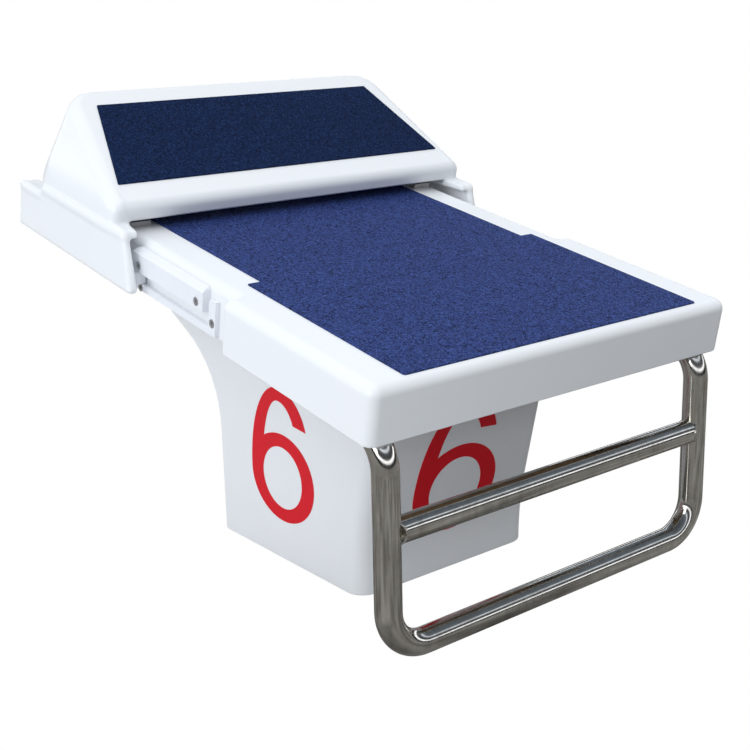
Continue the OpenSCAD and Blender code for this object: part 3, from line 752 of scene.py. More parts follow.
@dataclass
class PlatformMoulding:
    """The platform: a wide front and a narrow rear under one skin, open below."""

    wide_half: float = 260.0
    narrow_half: float = 242.0
    wide_len: float = 253.0
    wall: float = 6.0
    inner_r: float = 3.0
    rim_r: float = 2.0
    shoulder_r: float = 7.2
    notch_r: float = 4.0

    def corners(self) -> list[Corner]:
        """The outline's corners.

        Returns:
            The corners, counter-clockwise from the front right.
        """
        return mirrored(
            [
                Corner(self.wide_half, 0, EDGE_R),
                Corner(self.wide_half, self.wide_len, self.shoulder_r),
                Corner(self.narrow_half, self.wide_len, self.notch_r),
                Corner(self.narrow_half, place.length, EDGE_R),
            ]
        )

    def profile(self) -> list[Point2]:
        """The section of the wall, from inside the top skin, round the rim, to the top.

        Returns:
            Inset and height of each ring.
        """
        wall, rim, low = self.wall, self.rim_r, -SKIRT
        inner_r, mid = self.inner_r, self.inner_r * 0.3
        inner = [(wall + inner_r, -wall), (wall + mid, -wall - mid), (wall, -wall - inner_r)]
        inner_rim = [(wall - rim * (1 - c), low + rim * (1 - s)) for c, s in arc_points(4, 0, 90)]
        outer_rim = [(rim * (1 - s), low + rim * (1 - c)) for c, s in arc_points(4, 0, 90)]
        edge = [(EDGE_R * (1 - c), -EDGE_R * (1 - s)) for c, s in arc_points(10, 0, 90)]
        return inner + inner_rim + outer_rim + edge

    def build(self) -> None:
        """Builds the moulding and its finish."""
        corners = self.corners()
        rings = [[place(x, y, h) for x, y in rounded(corners, inset, 8)] for inset, h in self.profile()]
        piece = loft("platform_moulding", rings)
        weigh_normals(piece, 40)
        ride_as(piece, GELCOAT, Body.BLOCK, "platform_shell")


@dataclass
class PedestalMoulding:
    """The pedestal: flat sides, a front that bends into a lean, a rear that flares and a soft top end."""

    front_r: float = 24.0
    rear_r: float = 7.0
    wall: float = 6.0
    rim_r: float = 2.0
    front_lean: float = 13.2
    front_bend_h: float = 95.0
    flare_z: float = 138.0
    flare_r: float = 125.0
    flare_turn: float = 61.0
    flare_run: float = 62.0
    nose_r: float = 34.0
    foot_margin: float = 17.0
    under_core: float = -24.0
    half: float = field(init=False)
    front: float = field(init=False)
    rear: float = field(init=False)

    def __post_init__(self) -> None:
        """Reads the pedestal's width and its foot from its CAD box and its anchor plate's."""
        self.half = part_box("pedestal_shell")[1].x / MM
        self.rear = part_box("anchor_plate")[1].y / MM + self.foot_margin
        self.front = -self.rear
        log.info("pedestal %.0f wide, %.0f deep at the deck", 2 * self.half, 2 * self.rear)

    def front_y(self, z: float) -> float:
        """Place of the front face, which bends from upright into its lean.

        Args:
            z: Height over the deck.

        Returns:
            The face's y.
        """
        lean = math.radians(self.front_lean)
        bend = self.front_bend_h / math.sin(lean)
        if z < self.front_bend_h:
            return self.front - bend + math.sqrt(bend**2 - z**2)
        return self.front - bend * (1 - math.cos(lean)) - (z - self.front_bend_h) * math.tan(lean)

    def front_top(self) -> float:
        """Finds by halving where the leaning front meets the core panel.

        Returns:
            The height.
        """
        low, high = self.front_bend_h, 2 * self.flare_z + self.front_bend_h
        for _ in range(40):
            middle = (low + high) / 2
            if middle < place.depth(self.front_y(middle), self.under_core):
                low = middle
            else:
                high = middle
        return low

    def rear_line(self, flats: int, bends: int) -> list[Point2]:
        """The rear face: upright, flared, straight, and rounded up to the core panel.

        Args:
            flats: Steps up the upright part.
            bends: Steps in each bend.

        Returns:
            Its points from the deck up, as (y, z).
        """
        turn = math.radians(self.flare_turn)
        centre = (self.rear + self.flare_r, self.flare_z)
        run = (math.sin(turn), math.cos(turn))
        line = [(self.rear, self.flare_z * i / flats) for i in range(flats + 1)]
        for i in range(1, bends + 1):
            a = turn * i / bends
            line.append((centre[0] - self.flare_r * math.cos(a), centre[1] + self.flare_r * math.sin(a)))
        y, z = line[-1]
        shares = (self.flare_run * k / 3 for k in (1, 2, 3))
        line += [(y + run[0] * t, z + run[1] * t) for t in shares]
        nose = (line[-1][0] - run[1] * self.nose_r, line[-1][1] + run[0] * self.nose_r)
        for i in range(1, bends + 1):
            a = -turn * (1 - i / bends)
            line.append((nose[0] + self.nose_r * math.cos(a), nose[1] + self.nose_r * math.sin(a)))
        tip = nose[0] + self.nose_r
        line.append((tip, place.depth(tip, self.under_core)))
        return line

    def ring(self, front: Point2, rear: Point2, inset: float, lift: float = 0.0) -> list[Vector]:
        """One ring across the pedestal, in metres.

        Args:
            front: The front face's (y, z).
            rear: The rear face's (y, z).
            inset: How far the ring lies inside the outer face.
            lift: Extra height.

        Returns:
            The ring's points.
        """
        run = Vector(rear) - Vector(front)
        length = run.length
        step = run / length
        box = mirrored([Corner(self.half, 0, self.front_r), Corner(self.half, length, self.rear_r)])
        outline = rounded(box, inset, 10, least=1.0)
        y, z = front[0], front[1] + lift
        return [Vector((x, y + step.x * t, z + step.y * t)) * MM for x, t in outline]

    def build(self) -> None:
        """Builds the moulding: down the inside, round the foot and up the outside."""
        rear = self.rear_line(8, 16)
        top = self.front_top()
        last = len(rear) - 1
        front = [(self.front_y(top * k / last), top * k / last) for k in range(last + 1)]
        rim = self.rim_r
        inner = [self.ring(front[k], rear[k], self.wall) for k in range(last, 0, -1)]
        foot = [(self.wall - rim * (1 - c), rim * (1 - s)) for c, s in arc_points(3, 0, 90)]
        foot += [(rim * (1 - s), rim * (1 - c)) for c, s in arc_points(3, 0, 90)]
        turned = [self.ring(front[0], rear[0], inset, lift) for inset, lift in foot]
        outer = [self.ring(front[k], rear[k], 0.0) for k in range(1, last + 1)]
        piece = loft("pedestal_moulding", inner + turned + outer, closed=True)
        weigh_normals(piece, 50)
        ride_as(piece, GELCOAT, Body.BLOCK, "pedestal_shell")


# ---------------------------------------------------------------- the back plate as a distance field


Field3 = Callable[[np.ndarray], np.ndarray]
Net = tuple[np.ndarray, np.ndarray]
SETTLING = 6  # steps that bring the mesh's points onto the field's zero level


def meet(first: np.ndarray, second: np.ndarray, r: float) -> np.ndarray:
    """Distance to where two solids overlap, its outer edge rounded by r."""
    a, b = np.maximum(first + r, 0), np.maximum(second + r, 0)
    return np.minimum(-r, np.maximum(first, second)) + np.sqrt(a * a + b * b)


def join(first: np.ndarray, second: np.ndarray, r: float) -> np.ndarray:
    """Distance to two solids together, with a fillet of r in the corner between them."""
    return -meet(-first, -second, r)


def cut(first: np.ndarray, second: np.ndarray, r: float) -> np.ndarray:
    """Distance to the first solid without the second, the new edges rounded by r."""
    return meet(first, -second, r)


def skin(shape: Field3, low: Sequence[float], high: Sequence[float], cell: float) -> Net:
    """Meshes the zero level of a distance field with one point in each cell that it crosses.

    Args:
        shape: The field, which takes an array of points.
        low: The grid's low corner.
        high: The grid's high corner.
        cell: The grid's pitch.

    Returns:
        The points and the quads, facing outwards.
    """
    axes = [np.arange(a, b + cell, cell) for a, b in zip(low, high)]
    grid = np.stack(np.meshgrid(*axes, indexing="ij"), axis=-1)
    size = grid.shape[:3]
    field_values = shape(grid.reshape(-1, 3)).reshape(size)
    inside = field_values < 0
    cells = tuple(n - 1 for n in size)
    total, hits = np.zeros((*cells, 3)), np.zeros(cells)
    for axis in range(3):
        step = np.eye(3, dtype=int)[axis]
        others = [o for o in range(3) if o != axis]
        for da in (0, 1):
            for db in (0, 1):
                start = np.zeros(3, dtype=int)
                start[others[0]], start[others[1]] = da, db
                near = tuple(slice(s, s + c) for s, c in zip(start, cells))
                far = tuple(slice(s + d, s + d + c) for s, d, c in zip(start, step, cells))
                a, b = field_values[near], field_values[far]
                crossed = inside[near] != inside[far]
                share = np.where(crossed, a / np.where(crossed, a - b, 1.0), 0.0)
                spot = grid[near] + share[..., None] * step * cell
                total += np.where(crossed[..., None], spot, 0.0)
                hits += crossed
    used = hits > 0
    number = -np.ones(cells, dtype=int)
    number[used] = np.arange(used.sum())
    points = total[used] / hits[used][:, None]
    quads = []
    for axis in range(3):
        a_axis, b_axis = (axis + 1) % 3, (axis + 2) % 3
        span = [slice(1, n - 1) for n in size]
        span[axis] = slice(0, size[axis] - 1)
        ahead = list(span)
        ahead[axis] = slice(1, size[axis])
        here, there = inside[tuple(span)], inside[tuple(ahead)]
        for flag, flip in ((here & ~there, False), (~here & there, True)):
            spots = np.argwhere(flag)
            spots[:, a_axis] += 1
            spots[:, b_axis] += 1
            ring = []
            for da, db in ((0, 0), (-1, 0), (-1, -1), (0, -1)):
                shifted = spots.copy()
                shifted[:, a_axis] += da
                shifted[:, b_axis] += db
                ring.append(number[tuple(shifted.T)])
            quad = np.stack(ring, axis=1)
            quads.append(quad[:, ::-1] if flip else quad)
    for _ in range(SETTLING):
        slope = steepness(shape, points)
        points = points - slope * (shape(points) / np.maximum((slope**2).sum(axis=1), 0.2))[:, None]
    return points, np.concatenate(quads)


def steepness(shape: Field3, points: np.ndarray, reach: float = 0.04) -> np.ndarray:
    """Gradient of a field at each point, by differences.

    Args:
        shape: The field.
        points: The points, one to a row.
        reach: Half the difference's span.

    Returns:
        The gradients, one to a row.
    """
    columns = []
    for axis in range(3):
        step = np.eye(3)[axis] * reach
        columns.append((shape(points + step) - shape(points - step)) / (2 * reach))
    return np.stack(columns, axis=1)


@dataclass
class BackPlateMoulding:
    """The back plate: a hollow wedge on two flanged side skirts, one moulding with soft edges."""

    slope: float = 26.57
    crease: Point2 = (472.0, 34.5)
    lip_low: float = 14.0
    lip_half: float = 267.0
    side_lean: float = 19.4
    waist_half: float = 269.5
    rear_at: float = 670.6
    rear_lean: float = 7.0
    foot: float = 13.0
    wall: float = 6.0
    corner_r: float = 30.0
    side_r: float = 12.5
    crease_r: float = 10.0
    lip_lean: float = 14.0
    skirt_half: float = 270.0
    skirt_spread: float = 4.0
    skirt_t: float = 11.0
    skirt_low: float = -54.0
    nose: tuple[float, float] = (422.0, 447.0)
    flange_t: float = 9.0
    flange_half: float = 244.5
    tail: tuple[float, float] = (652.0, 713.8)
    tail_top: float = 2.0
    tail_ease: float = 3.0
    hand_half: float = 88.0
    hand_top: float = 62.0
    hand_deep: float = 26.0
    top: float = 125.0
    edge_r: float = 2.0
    fold_r: float = 3.0
    flange_r: float = 4.0
    end_r: float = 5.0
    web_r: float = 6.0
    lean_r: float = 8.0
    cell: float = 3.0

    def wedge(self, u: np.ndarray, v: np.ndarray, w: np.ndarray, inset: float) -> np.ndarray:
        """Distance to the wedge without its floor.

        Args:
            u: Places across, from the middle plane.
            v: Places along the platform.
            w: Heights over the platform.
            inset: How far its faces are moved in.

        Returns:
            The distances.
        """
        a, b, c, d = (math.radians(x) for x in (self.slope, self.side_lean, self.rear_lean, self.lip_lean))
        dv, dw = v - self.crease[0], w - self.crease[1]
        foot_face = dw * math.cos(a) - dv * math.sin(a) + inset
        lip = -dv * math.cos(d) - dw * math.sin(d) + inset
        rear = v * math.cos(c) + w * math.sin(c) - self.rear_at + inset
        lean = (u - self.lip_half) * math.cos(b) + (w - self.crease[1]) * math.sin(b) + inset
        upright = u - self.waist_half + inset
        front = meet(foot_face, lip, max(self.crease_r - inset, 1.0))
        back = meet(rear, meet(lean, upright, self.lean_r), max(self.corner_r - inset, self.fold_r))
        return meet(front, back, max(self.side_r - inset, self.edge_r))

    def skirts(self, u: np.ndarray, v: np.ndarray, w: np.ndarray) -> np.ndarray:
        """Distance to the side skirts with their flanges and tail ledges.

        Args:
            u: Places across, from the middle plane.
            v: Places along the platform.
            w: Heights over the platform.

        Returns:
            The distances.
        """
        height = self.foot - self.skirt_low
        outer = u - self.skirt_half - self.skirt_spread * (self.foot - w) / height
        nose_low, nose_high = self.nose
        rake = nose_high - nose_low
        nose = ((nose_low - v) * height + (w - self.skirt_low) * rake) / math.hypot(height, rake)
        tail_front, tail_end = self.tail
        step = np.clip((v - tail_front + self.tail_ease) / (2 * self.tail_ease), 0, 1)
        top_w = self.foot - (self.foot - self.tail_top) * step * step * (3 - 2 * step)
        top = w - top_w
        low = self.skirt_low - w
        ends = meet(nose, v - tail_end, self.end_r)
        across = meet(outer, self.skirt_half + 1.5 - self.skirt_t - u, self.fold_r)
        web = meet(meet(across, meet(top, low, self.fold_r), self.end_r), ends, self.web_r)
        ease = np.clip((v - nose_high) / (self.crease[0] + 10.0 - nose_high), 0, 1)
        edge = self.flange_half + 5.0 * (1 - ease * ease * (3 - 2 * ease))
        flat = meet(top, (top_w - self.flange_t) - w, self.fold_r)
        band = meet(flat, meet(outer, edge - u, self.fold_r), self.flange_r)
        flange = meet(band, meet(nose + 1.0, v - tail_end, self.end_r), self.flange_r)
        return join(web, flange, self.flange_r)

    def distance(self, points: np.ndarray) -> np.ndarray:
        """Distance to the whole moulding.

        Args:
            points: Points u, v, w, one to a row.

        Returns:
            The distances, negative inside.
        """
        u, v, w = np.abs(points[:, 0]), points[:, 1], points[:, 2]
        r = self.edge_r
        wedge = self.wedge(u, v, w, 0.0)
        solid = meet(wedge, self.lip_low - w, r)
        cheek = meet(meet(wedge, self.foot - self.flange_t + 1.0 - w, r), self.flange_half + 5.0 - u, r)
        solid = join(solid, cheek, 1.0)
        hull = join(solid, self.skirts(u, v, w), self.web_r)
        hollow = meet(self.wedge(u, v, w, self.wall), self.skirt_low - self.wall - w, 1.0)
        shell = cut(hull, meet(hollow, u - (self.flange_half - 0.2), r), 1.5)
        upper = meet(hollow, self.foot + 0.5 - w, r)
        shell = cut(shell, upper, 1.5)
        opening_v = self.rear_at - self.hand_deep - v
        hand = meet(meet(u - self.hand_half, w - self.hand_top, self.lean_r), opening_v, r)
        return cut(shell, hand, 2.5)

    def build(self) -> None:
        """Meshes the field and gives each point the field's own normal."""
        spare, half = 3 * self.cell, self.skirt_half + 4 * self.cell
        low = (-half, self.nose[0] - spare, self.skirt_low - spare)
        high = (half, self.tail[1] + spare, self.top + spare)
        points, quads = skin(self.distance, low, high, self.cell)
        normals = steepness(self.distance, points)
        piece = new_piece("back_plate_moulding", place.many(points), quads)
        piece.data.polygons.foreach_set("use_smooth", [True] * len(piece.data.polygons))
        turned = place.turned(normals)
        turned /= np.maximum(np.linalg.norm(turned, axis=1), 1e-9)[:, None]
        if len(piece.data.vertices) == len(turned):
            piece.data.normals_split_custom_set_from_vertices(turned.tolist())
        ride_as(piece, GELCOAT, Body.BACK_PLATE, "back_plate_shell")


# ---------------------------------------------------------------- mats


@dataclass
class Mats:
    """The deck mat and the foot mat: thin sheets with softly rubbed edges."""

    thick: float = 1.6
    edge: float = 0.5
    front_half: float = 214.0
    rear_half: float = 196.0
    front: float = 11.5
    notch: float = 275.0
    rear_gap: float = 10.0
    front_r: float = 3.0
    rear_r: float = 4.0
    cut_r: float = 1.0
    foot_span: tuple[float, float] = (36.0, 175.0)
    foot_halves: tuple[float, float] = (245.0, 208.0)

    def sheet(self, name: str, corners: Sequence[Corner], lay: Lay) -> bpy.types.Object:
        """A flat sheet with a rounded top edge.

        Args:
            name: The piece's name.
            corners: Its outline.
            lay: Turns the outline's x, y and a height into a point in metres.

        Returns:
            The object.
        """
        levels = [(0.0, 0.02), (0.0, self.thick - self.edge)]
        rim = arc_points(3, 0, 90)[1:]
        levels += [(self.edge * (1 - c), self.thick - self.edge * (1 - s)) for c, s in rim]
        rings = [[lay(x, y, h) for x, y in rounded(corners, inset, 4, least=0.2)] for inset, h in levels]
        piece = loft(name, rings)
        weigh_normals(piece, 50)
        return piece

    def build(self) -> None:
        """Builds both mats."""
        cut_r = self.cut_r
        deck = [
            Corner(self.front_half, self.front, self.front_r),
            Corner(self.front_half, self.notch, cut_r),
            Corner(self.rear_half, self.notch, cut_r),
            Corner(self.rear_half, place.length - self.rear_gap, self.rear_r),
        ]
        ride_as(self.sheet("deck_mat", mirrored(deck), place), DECK_GRIT, Body.BLOCK, "platform_mat")

        shell = BackPlateMoulding()
        a = math.radians(shell.slope)

        def on_face(x: float, y: float, h: float) -> Vector:
            """A point on the foot face, y up from the crease and h out of it."""
            v = shell.crease[0] + y * math.cos(a) - h * math.sin(a)
            return place(x, v, shell.crease[1] + y * math.sin(a) + h * math.cos(a))

        low, high = self.foot_span
        wide, narrow = self.foot_halves
        foot = mirrored([Corner(wide, low, cut_r), Corner(narrow, high, cut_r)])
        ride_as(self.sheet("foot_mat", foot, on_face), FOOT_GRIT, Body.BACK_PLATE, "back_plate_mat")


# ---------------------------------------------------------------- handle


@dataclass
class Handle:
    """The backstroke handle: one bent tube and a welded mid rail."""

    tube_r: float = 14.0
    wall: float = 2.0
    bend_r: float = 45.0
    leg_len: float = 150.0
    leg_w: float = -59.0
    cope: float = 0.4
    weld_r: float = 1.2
    sides: int = 48
    bends: int = 20

    def __post_init__(self) -> None:
        """Reads the posts' and the rails' places from the CAD boxes."""
        low, high = (Vector(c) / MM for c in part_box("handle_loop"))
        self.post_x = high.x - self.tube_r
        self.post_y = low.y + self.tube_r
        self.low_z = low.z + self.tube_r
        mid_low, mid_high = (Vector(c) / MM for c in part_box("handle_mid_rail"))
        self.mid_z = (mid_low.z + mid_high.z) / 2

    def centre_line(self) -> list[Vector]:
        """The bent tube's axis, from the left leg's end round the low rail to the right leg's end.

        Returns:
            Its points, in mm.
        """
        tilt = math.radians(place.tilt)
        down = Vector((0, -math.cos(tilt), -math.sin(tilt)))
        meet_z = place.depth(self.post_y, self.leg_w)
        turn = math.pi / 2 - tilt
        x, r = -self.post_x, self.bend_r
        top = meet_z - r * math.tan(turn / 2)
        line = [Vector((x, self.post_y, meet_z)) - down * self.leg_len]
        for i in range(self.bends + 1):
            a = tilt + turn * i / self.bends
            line.append(Vector((x, self.post_y + r * (1 - math.sin(a)), top + r * math.cos(a))))
        low = self.low_z + r
        for k in range(1, 8):
            line.append(Vector((x, self.post_y, top + (low - top) * k / 8)))
        for i in range(self.bends + 1):
            a = math.pi / 2 * i / self.bends
            line.append(Vector((x + r * (1 - math.cos(a)), self.post_y, low - r * math.sin(a))))
        return line + [Vector((-p.x, p.y, p.z)) for p in reversed(line)]

    def tube(self, line: Sequence[Vector], radius: float) -> list[Ring]:
        """Rings round a line, carried along it without twist.

        Args:
            line: The line's points, in mm.
            radius: The rings' radius, in mm.

        Returns:
            The rings, in metres.
        """
        rings: list[Ring] = []
        circle = arc_points(self.sides, 0, 360)[:-1]
        side = Vector((1, 0, 0))
        for i, spot in enumerate(line):
            ahead = (line[min(i + 1, len(line) - 1)] - line[max(i - 1, 0)]).normalized()
            side = (side - ahead * side.dot(ahead)).normalized()
            other = ahead.cross(side)
            rings.append([(spot + (side * c + other * s) * radius) * MM for c, s in circle])
        return rings

    def build(self) -> None:
        """Builds the loop, the mid rail and its weld beads."""
        line = self.centre_line()
        inner, outer = self.tube(line, self.tube_r - self.wall), self.tube(line, self.tube_r)
        loop = loft("handle_tube", list(reversed(inner)) + outer, closed=True)
        smooth(loop, 50)
        ride_as(loop, POLISHED, Body.BLOCK, "handle_loop")
        self.mid_rail()

    def round_rail(self, x: float, angle: float) -> Vector:
        """The point of the mid rail's surface at x and an angle in radians, in mm."""
        y, z = self.tube_r * math.cos(angle), self.tube_r * math.sin(angle)
        return Vector((x, self.post_y + y, self.mid_z + z))

    def mid_rail(self) -> None:
        """Builds the mid rail between the posts, coped to them, and a bead round each joint."""
        r = self.tube_r
        angles = [2 * math.pi * k / self.sides for k in range(self.sides)]
        reach = [self.post_x - r * abs(math.cos(a)) + self.cope for a in angles]
        half = (0.3, 0.6, 0.9, 1.0)
        shares = [-share for share in reversed(half)] + [0.0, *half]
        rows = [[self.round_rail(share * x, a) * MM for a, x in zip(angles, reach)] for share in shares]
        rail = loft("handle_cross_tube", rows)
        smooth(rail, 50)
        ride_as(rail, POLISHED, Body.BLOCK, "handle_mid_rail")
        for side in (-1, 1):
            self.bead(side, angles)

    def bead(self, side: int, angles: Sequence[float]) -> None:
        """A ground-down weld bead round one end of the mid rail.

        Args:
            side: -1 for the left end, 1 for the right end.
            angles: Angles round the rail, in radians.
        """
        saddle = [self.tube_r * math.sqrt(math.cos(a) ** 2 + 0.02) for a in angles]
        path = [self.round_rail(side * (self.post_x - x), a) for a, x in zip(angles, saddle)]
        rows: list[Ring] = []
        for i, spot in enumerate(path):
            ahead = (path[(i + 1) % len(path)] - path[i - 1]).normalized()
            out = Vector((0, math.cos(angles[i]), math.sin(angles[i])))
            out = (out - ahead * out.dot(ahead)).normalized()
            other = ahead.cross(out)
            size = self.weld_r * (1 + 0.12 * math.sin(9 * angles[i]))
            rows.append([(spot + (out * c + other * s) * size) * MM for c, s in arc_points(10, 0, 360)[:-1]])
        ring = loft(f"handle_weld_{'left' if side < 0 else 'right'}", rows, closed=True)
        smooth(ring, 60)
        ride_as(ring, POLISHED, Body.BLOCK)


# ---------------------------------------------------------------- hardware


MERGE = 2e-6  # metres, within which a CAD mesh's doubled points become one
FLAT = 0.6  # degrees, up to which neighbouring CAD triangles become one face
CREASE = 28.0  # degrees, from which a CAD edge is rounded


def soften(node: str, width: float, finish: Finish, body: Body, segments: int = 2) -> None:
    """Takes a CAD node's shape and rounds its sharp edges.

    Args:
        node: The CAD node.
        width: Width of the rounding, mm.
        finish: The piece's finish.
        body: The body it rides on.
        segments: Segments across the rounding.
    """
    mesh = frame["nodes"][node].data.copy()
    mesh.name = f"{node}_finished"
    work = bmesh.new()
    work.from_mesh(mesh)
    bmesh.ops.remove_doubles(work, verts=work.verts, dist=MERGE)
    bmesh.ops.dissolve_limit(work, angle_limit=math.radians(FLAT), verts=work.verts, edges=work.edges)
    work.to_mesh(mesh)
    work.free()
    piece = bpy.data.objects.new(mesh.name, mesh)
    bpy.context.scene.collection.objects.link(piece)
    smooth(piece, 24)
    edges = piece.modifiers.new("edges", "BEVEL")
    edges.width = width * MM
    edges.segments = segments
    edges.limit_method = "ANGLE"
    edges.angle_limit = math.radians(CREASE)
    edges.use_clamp_overlap = True
    edges.miter_outer = "MITER_ARC"
    bake(piece)
    weigh_normals(piece, 32)
    ride_as(piece, finish, body, node)


@dataclass
class Hardware:
    """Everything bought or machined: rails, racks, guides, saddles, frame, lock and grip."""

    moulded: dict[str, float] = field(
        default_factory=lambda: {
            "upper_rail_left": 0.9,
            "upper_rail_right": 0.9,
            "lower_rail_left": 0.7,
            "lower_rail_right": 0.7,
        }
    )
    guides: dict[str, float] = field(default_factory=lambda: {"front_guides": 0.6, "rear_guides": 0.8})
    steel: dict[str, float] = field(
        default_factory=lambda: {
            "anchor_plate": 0.8,
            "frame_uprights": 0.8,
            "frame_gussets": 0.5,
            "head_plate": 0.8,
            "head_bolts": 0.4,
            "handle_saddles": 0.5,
            "saddle_bolts": 0.4,
        }
    )

    def build(self) -> None:
        """Builds and dresses every part."""
        for node, width in self.moulded.items():
            soften(node, width, RAIL_PLASTIC, Body.BLOCK)
        for node, width in self.guides.items():
            soften(node, width, RAIL_PLASTIC, Body.BACK_PLATE)
        for node, width in self.steel.items():
            soften(node, width, BRUSHED, Body.BLOCK)
        soften("platform_core", 0.6, PLY, Body.BLOCK)
        soften("saddle_blocks", 1.0, BLACK_PLASTIC, Body.BLOCK)
        for side in ("left", "right"):
            soften(f"lock_rack_{side}", 0.5, BRUSHED, Body.BLOCK)
        soften("rack_screws", 0.25, SCREW_STEEL, Body.BLOCK, segments=1)
        soften("cross_plate", 0.8, BRUSHED, Body.BACK_PLATE)
        soften("shaft_bearings", 0.8, BLACK_PLASTIC, Body.BACK_PLATE)
        for node in ("cross_plate_screws", "bearing_screws"):
            soften(node, 0.3, SCREW_STEEL, Body.BACK_PLATE, segments=1)
        for node, width in {"lock_shaft": 0.6, "lock_arms": 0.8, "lock_dogs": 0.6, "shaft_pins": 0.3}.items():
            soften(node, width, BRUSHED, Body.LOCK_BAR)
        soften("lock_grip", 2.0, GRIP_RUBBER, Body.LOCK_BAR, segments=3)


@dataclass
class LaneNumbers:
    """The four film numerals, whose CAD outlines are already the cut film."""

    places: tuple[str, ...] = ("front", "rear", "left", "right")

    def build(self) -> None:
        """Gives the numerals their film."""
        for where in self.places:
            node = frame["nodes"][f"lane_number_{where}"]
            node.data.materials.clear()
            node.data.materials.append(FILM.material())
            log.info("lane number %s dressed", where)


